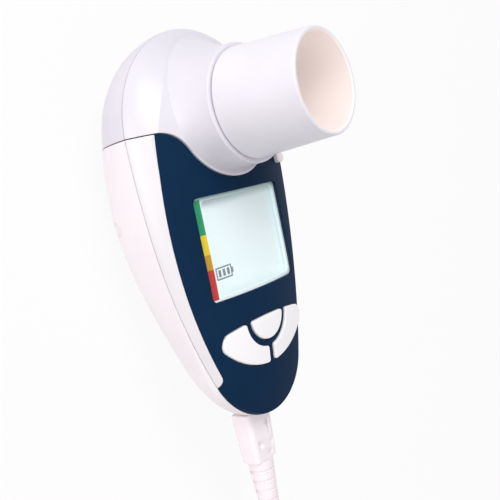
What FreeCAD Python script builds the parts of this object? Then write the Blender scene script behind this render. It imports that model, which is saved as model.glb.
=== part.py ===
import FreeCAD, Part
import Sketcher
import math
import os

# Hand-held electronic peak flow meter, lying on its back.
# X runs across, Y along the meter towards the head, Z up out of the mouthpiece. Millimetres.

doc = FreeCAD.newDocument("peak_flow_meter")
sheet = doc.addObject("Spreadsheet::Sheet", "dims")

sizes = {
    # egg-shaped outline where the front and rear covers part
    "halfLength": 56.2,
    "headRadius": 30.17,
    "noseRadius": 20.6,
    "sideRadius": 236,
    "partingHeight": 29.86,
    "partingGap": 0.2,
    "partingBendY": 0.06,
    "partingBendRadius": 418,
    "wall": 2,
    # rounded back, flat where it rests
    "bellyDepth": 31,
    "headPinch": 0.167,
    "headPull": 25.2,
    "headPower": 2.31,
    "nosePinch": 0.51,
    "nosePull": 48.9,
    "nosePower": 1.92,
    "sideEnd": 38.5,
    "sidePower": 1.52,
    # crowned face and the shoulder that rises to it
    "faceHeight": 39.54,
    "faceRadius": 80,
    "faceBendY": -9.94,
    "faceBendRadius": 230,
    "headBendY": 27.6,
    "headBendRadius": 50,
    "shoulderRun": 4,
    "shoulderRise": 5.3,
    "shoulderPower": 1.6,
    "headShoulder": 1.45,
    "noseShoulderStart": 3.6,
    "shoulderTop": 11,
    # head, which slides off the body
    "tubeY": 31.43,
    "bibRadius": 18.4,
    "seamY": 27.6,
    "seamFillet": 10,
    "seamGap": 0.3,
    "headProud": 0.5,
    "neckRadius": 16.3,
    "neckTop": 48,
    "flareRadius": 23,
    "flareDepth": 16.5,
    "neckBore": 14.45,
    "neckShelf": 41.5,
    "neckRim": 0.5,
    "sealThick": 1,
    "sealGap": 0.1,
    "tubeSeat": 13.6,
    # mouthpiece tube
    "mouthHeight": 72.84,
    "mouthOuter": 13.57,
    "mouthBore": 12.35,
    "mouthBoreDepth": 20,
    "mouthBase": 15.18,
    "mouthRim": 0.5,
    "boreStep": 2,
    "spigotGap": 0.1,
    "spigotBore": 12.9,
    "footGap": 0.3,
    # turbine
    "turbineWall": 1.3,
    "turbineGap": 0.08,
    "turbineLow": 11.5,
    "statorLow": 31,
    "statorLength": 6,
    "statorHub": 3,
    "statorBlade": 0.9,
    "statorTwist": 32,
    "statorBlades": 8,
    "ringWall": 0.8,
    "spiderLow": 13,
    "spiderLength": 3,
    "spiderArm": 1.6,
    "spiderArms": 3,
    "spiderHub": 2.2,
    "bearingRadius": 1.3,
    "bearingBore": 0.45,
    "bearingLength": 2,
    "spindleRadius": 0.4,
    "spindleEnd": 0.5,
    "spindlePlay": 0.05,
    "vaneSpan": 22.4,
    "vaneLow": 18,
    "vaneHigh": 29,
    "vaneThick": 0.6,
    "vaneHub": 1.1,
    "beamY": 22.2,
    "beamZ": 24,
    "beamHole": 1.5,
    "slotWidth": 2,
    "slotPitch": 4,
    "grilleRadius": 11,
    "slotTop": 8,
    "bossWall": 1.4,
    "bossTop": 14,
    # navy front panel
    "panelThick": 1,
    "panelHalf": 26.2,
    "panelRadius": 150,
    "panelWideY": 9,
    "panelNoseY": -43.5,
    "panelFillet": 3,
    "panelGap": 0.05,
    # display
    "windowHalf": 18.39,
    "windowHigh": 9.31,
    "windowLow": -18.99,
    "windowCorner": 1.5,
    "windowGap": 0.08,
    "windowSink": 0.3,
    "ledge": 1,
    "stripWidth": 2.9,
    "stripThick": 0.25,
    "stripGap": 0.3,
    "displayTop": 34.9,
    "displayThick": 2.2,
    "displayHalf": 18.6,
    "displayMargin": 1.2,
    "displayHigh": 8.9,
    "carrierWall": 1.2,
    "carrierFloor": 1,
    "carrierGap": 0.1,
    "connectorWidth": 2,
    "connectorInset": 1.6,
    # keys
    "keyProud": 0.7,
    "keyEdge": 0.45,
    "keyTip": 0.8,
    "keyGap": 0.25,
    "keyTopY": -27,
    "keyTopRadius": 100,
    "keyBottomY": -40.8,
    "keyBottomRadius": 23.5,
    "keyHalf": 17.8,
    "keyCorner": 3,
    "keyDisc": 7,
    "keyGrooveRadius": 9,
    "keySlot": 2.2,
    "keyFlange": 0.6,
    "keyFlangeLow": 33,
    "keyFlangeGap": 0.25,
    "keyStem": 1.8,
    "keyTravel": 0.5,
    "domeSlack": 0.1,
    "domeRadius": 3,
    "domeThick": 0.7,
    "sideKeyX": 11.8,
    "sideKeyY": -33.2,
    "centreKeyY": -30.4,
    "nubX": 22.6,
    "nubY": 16,
    "nubRadius": 1.6,
    "nubTop": 38.3,
    "nubGap": 0.2,
    "nubFlange": 0.8,
    "nubFlangeTop": 33,
    "nubFlangeThick": 0.8,
    "nubStem": 1,
    "nubDome": 2.2,
    # board and what stands on it
    "boardLow": 27,
    "boardThick": 1.6,
    "boardInset": 2.8,
    "boardTopY": 9.6,
    "earX": 20.2,
    "earY": 23.4,
    "beeperRadius": 3.8,
    "beeperThick": 2.6,
    "beeperY": -46.5,
    "ledRadius": 1.42,
    "chipThick": 1.2,
    "ledTip": 16.7,
    "ledFlange": 2,
    "ledFlangeThick": 1,
    "ledLength": 3,
    "ledLead": 0.5,
    "ledLeadGap": 1.27,
    "bossRadius": 3.1,
    "screwHead": 2.1,
    "screwHeadDepth": 1.6,
    "screwShank": 1,
    "screwGap": 0.1,
    "screwBite": 5,
    "screwHighX": 23.2,
    "screwHighY": 5,
    "screwHighSeat": 21.5,
    "screwLowX": 12.5,
    "screwLowY": -42.5,
    "screwLowSeat": 23,
    "headScrewX": 18.5,
    "headScrewY": 41,
    "headScrewSeat": 20.5,
    "headScrewBite": 3,
    # cells behind the board
    "cellRadius": 5.2,
    "cellLength": 44.5,
    "cellX": 5.6,
    "cellTilt": 14,
    "cellHighY": 6.6,
    "cellHeight": 8.6,
    "cellNub": 1.9,
    "cellNubHigh": 1,
    "trayWall": 0.8,
    "trayGap": 0.2,
    "trayLow": 3,
    "contactRoom": 2.6,
    "contactThick": 0.4,
    "contactWide": 7,
    "springBase": 2.8,
    "springTip": 1.7,
    "doorHalf": 13.4,
    "doorHighY": 10,
    "doorTop": 14,
    "doorGap": 0.15,
    "doorLift": 0.3,
    "gripSlots": 5,
    "gripPitch": 2,
    "gripHalf": 6,
    "gripDepth": 0.4,
    # data lead
    "plugStartY": -56.5,
    "plugLength": 15.4,
    "plugWide": 11,
    "plugDeep": 7.4,
    "plugEndWide": 9.6,
    "plugEndDeep": 6.8,
    "plugCorner": 1.6,
    "plugEdge": 0.4,
    "shellWide": 6.8,
    "shellDeep": 3,
    "shellWall": 0.3,
    "shellLength": 9.5,
    "shellFloor": 1,
    "plugFit": 0.1,
    "socketWall": 0.45,
    "socketLength": 8.6,
    "tongueThick": 0.7,
    "tongueGap": 1,
    "socketMouthY": -53,
    "portGap": 0.5,
    "reliefLength": 22,
    "reliefRadius": 4.05,
    "reliefEnd": 2.5,
    "reliefRibs": 6,
    "ribDepth": 0.5,
    "ribWidth": 1,
    "cordRadius": 1.9,
    "coilRadius": 22.8,
    "coilHalfWidth": 6.8,
    "coilHeight": 15.6,
    "coilEdge": 1.8,
    "coilX": 0,
    "coilY": -176,
    "farWide": 16,
    "farDeep": 8,
    "farLength": 22,
    "farShellWide": 12,
    "farShellDeep": 4.5,
    "farShellLength": 12,
    "farCorner": 1.6,
    "farTongue": 1.8,
    "farTongueShort": 0.6,
    "farTongueRise": 0.7,
    "farX": 18.7,
    "farY": -224,
    "tieWidth": 6,
    "tieThick": 0.45,
    "tieLow": 0.05,
    "cordGap": 0.05,
}
for row, (name, value) in enumerate(sizes.items(), 1):
    sheet.set("A%d" % row, name)
    sheet.set("B%d" % row, str(value))
    sheet.setAlias("B%d" % row, name)
doc.recompute()


def number(expression):
    return float(sheet.evalExpression(expression.replace("dims.", "")))


def dim(name):
    return number("dims." + name)


# Ends of the cutting tools, past all that they cut, and where those that cut only the face begin
reachX = "(1.5 * dims.headRadius)"
reachY = "(1.5 * dims.halfLength)"
toolLow = "(-4 * dims.wall)"
toolHigh = "dims.mouthHeight"
faceLow = "(dims.partingHeight - 5 * dims.wall)"


# Sketches, features and booleans

def originPlane(body, role):
    return [item for item in body.Origin.OriginFeatures if item.Role == role][0]


def makeBody(label, x="0", y="0", z="0"):
    body = doc.addObject("PartDesign::Body", label)
    body.Label = label
    for axis, expression in (("x", x), ("y", y), ("z", z)):
        body.setExpression("Placement.Base." + axis, expression)
    return body


def makeSketch(body, name, role="XY_Plane", offset="0", shift="0"):
    sketch = body.newObject("Sketcher::SketchObject", name)
    sketch.AttachmentSupport = (originPlane(body, role), [""])
    sketch.MapMode = "FlatFace"
    sketch.setExpression("AttachmentOffset.Base.z", offset)
    sketch.setExpression("AttachmentOffset.Base.y", shift)
    return sketch


def bindConstraint(sketch, kind, items, expression):
    index = sketch.addConstraint(Sketcher.Constraint(kind, *items, number(expression)))
    sketch.setExpression("Constraints[%d]" % index, expression)


def bindPoint(sketch, geometry, position, x, y):
    for kind, axis, expression in (("DistanceX", -2, x), ("DistanceY", -1, y)):
        value = number(expression)
        if abs(value) < 1e-7:
            sketch.addConstraint(Sketcher.Constraint("PointOnObject", geometry, position, axis))
        elif value > 0:
            bindConstraint(sketch, kind, (-1, 1, geometry, position), expression)
        else:
            bindConstraint(sketch, kind, (geometry, position, -1, 1), "-(%s)" % expression)


def drawPolygon(sketch, corners):
    points = [FreeCAD.Vector(number(x), number(y), 0) for x, y in corners]
    count = len(points)
    first = len(sketch.Geometry)
    for index in range(count):
        line = Part.LineSegment(points[index], points[(index + 1) % count])
        sketch.addGeometry(line, False)
    for index in range(count):
        following = first + (index + 1) % count
        sketch.addConstraint(Sketcher.Constraint("Coincident", first + index, 2, following, 1))
    for index, (x, y) in enumerate(corners):
        bindPoint(sketch, first + index, 1, x, y)


def drawCircle(sketch, radius, x="0", y="0"):
    centre = FreeCAD.Vector(number(x), number(y), 0)
    index = sketch.addGeometry(Part.Circle(centre, FreeCAD.Vector(0, 0, 1), number(radius)), False)
    bindConstraint(sketch, "Radius", (index,), radius)
    bindPoint(sketch, index, 3, x, y)


def rectangle(x0, y0, x1, y1):
    return [(x0, y0), (x1, y0), (x1, y1), (x0, y1)]


def centredRectangle(wide, deep):
    return rectangle("-(%s) / 2" % wide, "-(%s) / 2" % deep, "(%s) / 2" % wide, "(%s) / 2" % deep)


def pad(body, sketch, length, backwards=False):
    feature = body.newObject("PartDesign::Pad", sketch.Name + "Pad")
    feature.Profile = sketch
    feature.Reversed = backwards
    feature.setExpression("Length", length)
    return feature


def loft(body, sketches):
    feature = body.newObject("PartDesign::AdditiveLoft", sketches[0].Name + "Loft")
    feature.Profile = sketches[0]
    feature.Sections = sketches[1:]
    return feature


def turn(body, sketch, axis="V_Axis", angle=360, backwards=False):
    feature = body.newObject("PartDesign::Revolution", sketch.Name + "Turn")
    feature.Profile = sketch
    feature.ReferenceAxis = (sketch, [axis])
    feature.Angle = angle
    feature.Reversed = backwards
    return feature


def polarPattern(body, feature, count):
    pattern = body.newObject("PartDesign::PolarPattern", feature.Name + "Ring")
    pattern.Originals = [feature]
    pattern.Axis = ([item for item in body.Origin.OriginFeatures if item.Role == "Z_Axis"][0], [""])
    pattern.Angle = 360
    pattern.setExpression("Occurrences", count)
    body.Tip = pattern
    return pattern


def edgeNames(shape, test):
    return ["Edge%d" % (index + 1) for index, edge in enumerate(shape.Edges) if test(edge)]


def fillet(body, feature, radius, test):
    doc.recompute()
    rounding = body.newObject("PartDesign::Fillet", feature.Name + "Fillet")
    rounding.Base = (feature, edgeNames(feature.Shape, test))
    rounding.setExpression("Radius", radius)
    body.Tip = rounding
    return rounding


def isCircle(edge, radius, height=None):
    curve = edge.Curve
    if not isinstance(curve, Part.Circle) or abs(curve.Radius - radius) > 1e-4:
        return False
    return height is None or abs(curve.Center.z - height) < 1e-4


def isUpright(edge):
    start, end = edge.Vertexes[0].Point, edge.Vertexes[-1].Point
    return (start - end).Length > 0.5 and math.hypot(start.x - end.x, start.y - end.y) < 1e-4


def turnedBody(label, corners, x="0", y="0", z="0"):
    body = makeBody(label, x, y, z)
    sketch = makeSketch(body, label + "_profile", "XZ_Plane")
    drawPolygon(sketch, corners)
    turn(body, sketch)
    return body


def blockBody(label, corners, low, high, x="0", y="0", z="0"):
    body = makeBody(label, x, y, z)
    sketch = makeSketch(body, label + "_outline", "XY_Plane", low)
    drawPolygon(sketch, corners)
    pad(body, sketch, "(%s) - (%s)" % (high, low))
    return body


def discBody(label, radius, low, high, x="0", y="0"):
    body = makeBody(label, x, y)
    sketch = makeSketch(body, label + "_outline", "XY_Plane", low)
    drawCircle(sketch, radius)
    pad(body, sketch, "(%s) - (%s)" % (high, low))
    return body


def cut(label, base, *tools):
    for step, tool in enumerate(tools):
        feature = doc.addObject("Part::Cut", label if step == len(tools) - 1 else label + "_step")
        feature.Base = base
        feature.Tool = tool
        base = feature
    base.Label = label
    return base


def common(label, base, *tools):
    for step, tool in enumerate(tools):
        feature = doc.addObject("Part::Common", label if step == len(tools) - 1 else label + "_step")
        feature.Base = base
        feature.Tool = tool
        base = feature
    base.Label = label
    return base


def fuse(label, *shapes):
    feature = doc.addObject("Part::MultiFuse", label)
    feature.Shapes = list(shapes)
    feature.Label = label
    return feature


def group(label, shapes):
    feature = doc.addObject("Part::Compound", label)
    feature.Links = list(shapes)
    feature.Label = label
    return feature


# Egg outline of four tangent arcs: head, left side, nose, right side

def drawEgg(sketch, headRadius, headEnd, noseRadius, noseEnd, sideRadius):
    head, nose, side = number(headRadius), number(noseRadius), number(sideRadius)
    headY, noseY = number(headEnd) - head, number(noseEnd) + nose
    headReach, noseReach = side - head, side - nose
    sideY = (noseReach**2 - headReach**2 + headY**2 - noseY**2) / (2 * (headY - noseY))
    sideX = math.sqrt(headReach**2 - (sideY - headY)**2)
    headAngle = math.atan2(headY - sideY, sideX)
    noseAngle = math.atan2(noseY - sideY, sideX)

    def arc(x, y, radius, start, end):
        circle = Part.Circle(FreeCAD.Vector(x, y, 0), FreeCAD.Vector(0, 0, 1), radius)
        return Part.ArcOfCircle(circle, start, end)

    sketch.addGeometry(arc(0, headY, head, headAngle, math.pi - headAngle), False)
    sketch.addGeometry(arc(sideX, sideY, side, math.pi - headAngle, math.pi - noseAngle), False)
    sketch.addGeometry(arc(0, noseY, nose, math.pi - noseAngle, 2 * math.pi + noseAngle), False)
    sketch.addGeometry(arc(-sideX, sideY, side, noseAngle, headAngle), False)
    for index in range(4):
        sketch.addConstraint(Sketcher.Constraint("Tangent", index, 2, (index + 1) % 4, 1))
    sketch.addConstraint(Sketcher.Constraint("Equal", 1, 3))
    bindConstraint(sketch, "Radius", (0,), headRadius)
    bindConstraint(sketch, "Radius", (2,), noseRadius)
    bindConstraint(sketch, "Radius", (1,), sideRadius)
    bindPoint(sketch, 0, 3, "0", "(%s) - (%s)" % (headEnd, headRadius))
    bindPoint(sketch, 2, 3, "0", "(%s) + (%s)" % (noseEnd, noseRadius))


# Solid forms that the covers are cut from; inset moves a form inwards by a wall

def backForm(label, inset):
    body = makeBody(label)
    rings = []
    sideForm = "dims.sideEnd + (dims.sideRadius - (%s) - dims.sideEnd) * (1 - %s)^dims.sidePower"
    for step, share in enumerate((0, 0.12, 0.3, 0.5, 0.68, 0.82, 0.93, 1)):
        depth = "((dims.partingHeight - (%s)) * %s)" % (inset, share)
        ratio = "(%s / (dims.bellyDepth - (%s)))" % (depth, inset)
        level = "dims.partingHeight - " + depth
        sketch = makeSketch(body, "%s_ring%d" % (label, step), "XY_Plane", level)
        drawEgg(
            sketch,
            "(dims.headRadius - (%s)) * sqrt(1 - %s^2) * (1 - dims.headPinch * %s)" % (inset, ratio, ratio),
            "dims.halfLength - (%s) - dims.headPull * %s^dims.headPower" % (inset, ratio),
            "(dims.noseRadius - (%s)) * (1 - dims.nosePinch * %s^1.2)" % (inset, ratio),
            "-dims.halfLength + (%s) + dims.nosePull * %s^dims.nosePower" % (inset, ratio),
            sideForm % (inset, ratio),
        )
        rings.append(sketch)
    loft(body, rings)
    return body


def shoulderForm(label, inset):
    body = makeBody(label)
    rings = []
    for step, share in enumerate((0, 0.14, 0.28, 0.42, 0.56, 0.74, 1)):
        rise = "(dims.shoulderTop * %s)" % share
        noseRise = "(max(%s - dims.noseShoulderStart; 0))" % rise
        run = "(dims.shoulderRun * (%s / dims.shoulderRise)^dims.shoulderPower)" % rise
        noseRun = "(dims.shoulderRun * (%s / dims.shoulderRise)^dims.shoulderPower)" % noseRise
        sketch = makeSketch(body, "%s_ring%d" % (label, step), "XY_Plane", "dims.partingHeight + " + rise)
        drawEgg(
            sketch,
            "dims.headRadius - (%s) - %s" % (inset, run),
            "dims.halfLength - (%s) - %s * dims.headShoulder" % (inset, run),
            "dims.noseRadius - (%s) - %s" % (inset, run),
            "-dims.halfLength + (%s) + %s" % (inset, noseRun),
            "dims.sideRadius - (%s) - %s" % (inset, run),
        )
        rings.append(sketch)
    loft(body, rings)
    return body


def crownForm(label, inset):
    body = makeBody(label)
    half, low = "(1.2 * dims.headRadius)", "(1.5 * dims.wall)"
    noseSweep, headSweep = 16, 62

    def profile(name, y, axisHeight):
        sketch = makeSketch(body, label + name, "XZ_Plane", "-(%s)" % y, axisHeight)
        radius = "dims.faceRadius - (%s)" % inset
        centre = "dims.faceHeight - dims.faceRadius - (%s)" % axisHeight
        reach = math.asin(number(half) / number(radius))
        circle = Part.Circle(FreeCAD.Vector(0, number(centre), 0), FreeCAD.Vector(0, 0, 1), number(radius))
        sketch.addGeometry(Part.ArcOfCircle(circle, math.pi / 2 - reach, math.pi / 2 + reach), False)
        start, end = sketch.getPoint(0, 1), sketch.getPoint(0, 2)
        floor = number("(%s) - (%s)" % (low, axisHeight))
        corners = [end, FreeCAD.Vector(end.x, floor, 0), FreeCAD.Vector(start.x, floor, 0), start]
        for index in range(3):
            sketch.addGeometry(Part.LineSegment(corners[index], corners[index + 1]), False)
        for index in range(4):
            sketch.addConstraint(Sketcher.Constraint("Coincident", index, 2, (index + 1) % 4, 1))
        bindConstraint(sketch, "Radius", (0,), radius)
        bindPoint(sketch, 0, 3, "0", centre)
        bindPoint(sketch, 2, 1, "-(%s)" % half, "(%s) - (%s)" % (low, axisHeight))
        bindPoint(sketch, 2, 2, half, "(%s) - (%s)" % (low, axisHeight))
        sketch.addConstraint(Sketcher.Constraint("Vertical", 1))
        sketch.addConstraint(Sketcher.Constraint("Vertical", 3))
        return sketch

    pad(body, profile("_middle", "dims.faceBendY", "0"), "dims.headBendY - dims.faceBendY", True)
    noseProfile = profile("_nose", "dims.faceBendY", "dims.faceHeight - dims.faceBendRadius")
    turn(body, noseProfile, "H_Axis", noseSweep)
    headProfile = profile("_head", "dims.headBendY", "dims.faceHeight - dims.headBendRadius")
    turn(body, headProfile, "H_Axis", headSweep, True)
    return body


def faceForm(label, inset, crownInset=None):
    shoulder = shoulderForm(label + "_shoulder", inset)
    crown = crownForm(label + "_crown", inset if crownInset is None else crownInset)
    return common(label, shoulder, crown)


def headPlan(label, inset):
    body = makeBody(label)
    block = makeSketch(body, label + "_top", "XY_Plane", toolLow)
    drawPolygon(block, rectangle("-" + reachX, "dims.seamY + (%s)" % inset, reachX, reachY))
    pad(body, block, "%s - %s" % (toolHigh, toolLow))
    lobe = makeSketch(body, label + "_lobe", "XY_Plane", toolLow)
    drawCircle(lobe, "dims.bibRadius - (%s)" % inset, "0", "dims.tubeY")
    joined = pad(body, lobe, "%s - %s" % (toolHigh, toolLow))
    seam = number("dims.seamY + (%s)" % inset)

    def isCorner(edge):
        point = edge.Vertexes[0].Point
        return isUpright(edge) and abs(point.y - seam) < 1e-3 and 1 < abs(point.x) < dim("headRadius")

    fillet(body, joined, "dims.seamFillet + (%s)" % inset, isCorner)
    return body


outerBack = backForm("outer_back", "0")
innerBack = backForm("inner_back", "dims.wall")
outer = fuse("outer_form", outerBack, faceForm("outer_face", "0"))
inner = fuse("inner_form", innerBack, faceForm("inner_face", "dims.wall"))


# Parting surface: level along the sides, rising in one long arc to the nose

wholePlan = rectangle("-" + reachX, "-" + reachY, reachX, reachY)


def rearSide(label, lift):
    level = "dims.partingHeight + (%s)" % lift
    low = blockBody(label + "_low", wholePlan, toolLow, level)
    behindBend = rectangle("-" + reachX, "-" + reachY, reachX, "dims.partingBendY")
    rise = blockBody(label + "_rise", behindBend, faceLow, toolHigh)
    bend = doc.addObject("Part::Cylinder", label + "_bend")
    bend.setExpression("Radius", "dims.partingBendRadius - (%s)" % lift)
    bend.setExpression("Height", "2 * " + reachX)
    bend.Placement.Rotation = FreeCAD.Rotation(FreeCAD.Vector(0, 1, 0), 90)
    bend.setExpression("Placement.Base.x", "-" + reachX)
    bend.setExpression("Placement.Base.y", "dims.partingBendY")
    bend.setExpression("Placement.Base.z", "dims.partingHeight + dims.partingBendRadius")
    return fuse(label, low, cut(label + "_nose", rise, bend))


behindFront = rearSide("behind_front", "dims.partingGap / 2")
behindRear = rearSide("behind_rear", "-dims.partingGap / 2")
headOuter = headPlan("head_plan", "0")
headInner = headPlan("head_plan_inner", "dims.wall")
bodyCutter = headPlan("body_cutter", "-dims.seamGap")
bodyBulkhead = headPlan("body_bulkhead", "-dims.seamGap - dims.wall")


# Outlines of the navy panel, the window and the keys

def roundTops(label, base, radius, low):
    """Rounds the edges round the top of an upright form, which all lie above low"""
    doc.recompute()
    reach = number(radius)
    edges = []
    for index, edge in enumerate(base.Shape.Edges):
        if min(end.Z for end in edge.Vertexes) > number(low) and not isUpright(edge):
            edges.append((index + 1, reach, reach))
    rounding = doc.addObject("Part::Fillet", label)
    rounding.Label = label
    rounding.Base = base
    rounding.Edges = edges
    return rounding


def roundUprights(label, base, radiusAt):
    """Rounds each upright edge by the radius that radiusAt gives for its place, or leaves it sharp at 0"""
    doc.recompute()
    edges = []
    for index, edge in enumerate(base.Shape.Edges):
        if isUpright(edge):
            radius = radiusAt(edge.Vertexes[0].Point)
            if radius > 0:
                edges.append((index + 1, radius, radius))
    rounding = doc.addObject("Part::Fillet", label)
    rounding.Label = label
    rounding.Base = base
    rounding.Edges = edges
    return rounding


def panelPlan(label, gap):
    discs = []
    for side in (-1, 1):
        x = "%d * (dims.panelRadius - dims.panelHalf)" % side
        name, radius = "%s_arc%d" % (label, side + 1), "dims.panelRadius - (%s)" % gap
        discs.append(discBody(name, radius, faceLow, toolHigh, x, "dims.panelWideY"))
    lens = common(label + "_lens", *discs)
    noseTop = "dims.panelNoseY - (%s)" % gap
    nosePlan = rectangle("-" + reachX, "-" + reachY, reachX, noseTop)
    nose = blockBody(label + "_nose", nosePlan, faceLow, toolHigh)
    level = number(noseTop)

    def radiusAt(point):
        atCorner = abs(point.y - level) < 1e-3 and abs(point.x) < dim("headRadius")
        return dim("panelFillet") if atCorner else 0

    return roundUprights(label, fuse(label + "_joined", lens, nose), radiusAt)


def windowPlan(label, gap, leftGap=None):
    left = gap if leftGap is None else leftGap
    body = makeBody(label)
    sketch = makeSketch(body, label + "_outline", "XY_Plane", faceLow)
    drawPolygon(sketch, rectangle(
        "-dims.windowHalf + (%s)" % left,
        "dims.windowLow + (%s)" % gap,
        "dims.windowHalf - (%s)" % gap,
        "dims.windowHigh - (%s)" % gap,
    ))
    fillet(body, pad(body, sketch, "%s - %s" % (toolHigh, faceLow)), "dims.windowCorner", isUpright)
    return body


def keyBlock(label, x0, x1):
    """Block under the window, between two places across the meter"""
    return blockBody(label, rectangle(x0, "-" + reachY, x1, "dims.windowLow"), faceLow, toolHigh)


def keyOval(label, grow):
    """Area between the flat top arc and the round bottom arc, less wide than both"""
    topY = "dims.keyTopY - dims.keyTopRadius"
    bottomY = "dims.keyBottomY + dims.keyBottomRadius"
    topRadius, bottomRadius = "dims.keyTopRadius + (%s)" % grow, "dims.keyBottomRadius + (%s)" % grow
    top = discBody(label + "_topArc", topRadius, faceLow, toolHigh, "0", topY)
    bottom = discBody(label + "_bottomArc", bottomRadius, faceLow, toolHigh, "0", bottomY)
    half = "dims.keyHalf + (%s)" % grow
    width = keyBlock(label + "_width", "-(%s)" % half, half)
    return common(label, top, bottom, width)


def keyPlans(label, grow):
    """Outlines of the left, centre and right key, made larger all round by grow"""
    oval = keyOval(label + "_oval", grow)
    discY = "dims.keyTopY"
    disc = discBody(label + "_disc", "dims.keyDisc + (%s)" % grow, faceLow, toolHigh, "0", discY)
    groove = discBody(label + "_groove", "dims.keyGrooveRadius - (%s)" % grow, faceLow, toolHigh, "0", discY)
    half = "dims.keySlot / 2 - (%s)" % grow
    slot = keyBlock(label + "_slot", "-(%s)" % half, half)
    grooved = cut(label + "_grooved", oval, groove, slot)

    def radiusAt(point):
        atEnd = abs(point.x) > dim("keyHalf") - 1
        return (dim("keyCorner") if atEnd else dim("keyTip")) + number(grow)

    plans = []
    for name, x0, x1 in (("left", "-" + reachX, "0"), ("right", "0", reachX)):
        side = common("%s_%sSide" % (label, name), grooved, keyBlock("%s_%sHalf" % (label, name), x0, x1))
        plans.append(roundUprights("%s_%s" % (label, name), side, radiusAt))
    centre = roundUprights(label + "_centre", common(label + "_centreDisc", oval, disc), radiusAt)
    return [plans[0], centre, plans[1]]


# Front cover, panel and window

panelUnder = faceForm("panel_under", "dims.panelThick")
panelSkin = cut("panel_skin", faceForm("panel_top", "0"), panelUnder)
bodyOuter = cut("body_outer", outer, bodyCutter)
bodyInner = cut("body_inner", inner, bodyBulkhead)
bodyShell = cut("body_shell", bodyOuter, bodyInner)
stripFloor = crownForm("strip_floor", "dims.panelThick + dims.stripThick")
panelFloor = crownForm("panel_floor", "dims.panelThick")
windowTop = crownForm("window_top", "dims.windowSink")
stripLayer = cut("strip_layer", panelFloor, stripFloor)
keyHoles = fuse("key_holes", *keyPlans("key_hole", "dims.keyGap"))
nubHole = discBody("nub_hole", "dims.nubRadius + dims.nubGap", faceLow, toolHigh, "dims.nubX", "dims.nubY")


def stripPlan(label, gap):
    left = "-dims.windowHalf + (%s)" % gap
    right = "-dims.windowHalf + dims.stripWidth - (%s)" % gap
    low = "dims.windowLow + dims.ledge / 2 + (%s)" % gap
    high = "dims.windowHigh - dims.ledge / 2 - (%s)" % gap
    return blockBody(label, rectangle(left, low, right, high), faceLow, toolHigh)


casePlaces = []
for sign in (-1, 1):
    for place in ("High", "Low"):
        x, y, seat = ["dims.screw%s%s" % (place, part) for part in ("X", "Y", "Seat")]
        casePlaces.append(("%d * %s" % (sign, x), y, seat))
headPlaces = [("%d * dims.headScrewX" % sign, "dims.headScrewY", "dims.headScrewSeat") for sign in (-1, 1)]


def bosses(label, places, low, high, limit):
    posts = []
    for n, (x, y, seat) in enumerate(places):
        posts.append(discBody("%s%d" % (label, n), "dims.bossRadius", low, high, x, y))
    return common(label, fuse(label + "_posts", *posts), limit)


def screwHoles(label, places, high):
    """Counterbore from behind up to the seat, then the shank hole up to the given height"""
    tools = []
    headRoom, shankRoom = "dims.screwHead + dims.screwGap", "dims.screwShank + dims.screwGap"
    for n, (x, y, seat) in enumerate(places):
        tools.append(discBody("%s_bore%d" % (label, n), headRoom, toolLow, seat, x, y))
        tools.append(discBody("%s_hole%d" % (label, n), shankRoom, toolLow, high, x, y))
    return fuse(label, *tools)


def screws(label, places, high):
    """Pan head under its seat, and a plain shank that narrows at its tip"""
    made = []
    for n, (x, y, seat) in enumerate(places):
        screw = turnedBody("%s%d" % (label, n), [
            ("0", "-dims.screwHeadDepth"),
            ("dims.screwHead * 0.7", "-dims.screwHeadDepth"),
            ("dims.screwHead", "-dims.screwHeadDepth * 0.6"),
            ("dims.screwHead", "0"),
            ("dims.screwShank", "0"),
            ("dims.screwShank", "(%s) - (%s) - 0.8" % (high, seat)),
            ("dims.screwShank * 0.3", "(%s) - (%s) - 0.2" % (high, seat)),
            ("0", "(%s) - (%s) - 0.2" % (high, seat)),
        ], x, y, seat)
        made.append(screw)
    return group(label, made)


caseHigh = "dims.boardLow + dims.boardThick + dims.screwBite"
headHigh = "dims.partingHeight + dims.headScrewBite"
caseHoles = screwHoles("case_holes", casePlaces, caseHigh)
headHoles = screwHoles("head_holes", headPlaces, headHigh)
boardTop = "dims.boardLow + dims.boardThick"
frontBosses = bosses("front_bosses", casePlaces, boardTop, toolHigh, bodyOuter)
rearBosses = bosses("rear_bosses", casePlaces, toolLow, "dims.boardLow", bodyOuter)

panelHole = common("panel_recess", panelSkin, panelPlan("panel_hole", "0"))
frontPosts = cut("front_posts", frontBosses, discBody("below_board", reachY, toolLow, boardTop))
frontCover = cut(
    "front_cover",
    fuse("front_joined", cut("front_shell", bodyShell, behindFront), frontPosts),
    panelHole,
    windowPlan("display_hole", "dims.ledge", "dims.stripWidth + dims.stripGap"),
    common("strip_recess", stripLayer, stripPlan("strip_hole", "0")),
    keyHoles, nubHole, caseHoles,
)
frontPanel = cut(
    "front_panel",
    common("panel_blank", panelSkin, panelPlan("panel_plan", "dims.panelGap")),
    behindFront, bodyCutter, windowPlan("window_hole", "0"), keyHoles, nubHole,
)
windowLayer = cut("window_layer", windowTop, panelFloor)
displayWindow = common("display_window", windowLayer, windowPlan("window_plan", "dims.windowGap"))
zoneStrip = common("zone_strip", stripLayer, stripPlan("strip_plan", "dims.windowGap"))


# Cells, their tray and contacts, all tilted together to follow the back

def tilted(label, base):
    """Copy of a body drawn along Y, turned to the slope of the cells"""
    placed = doc.addObject("Part::Compound", label)
    placed.Label = label
    placed.Links = [base]
    placed.Placement.Rotation = FreeCAD.Rotation(FreeCAD.Vector(-1, 0, 0), dim("cellTilt"))
    placed.setExpression("Placement.Base.y", "dims.cellHighY")
    placed.setExpression("Placement.Base.z", "dims.cellHeight")
    return placed


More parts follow.
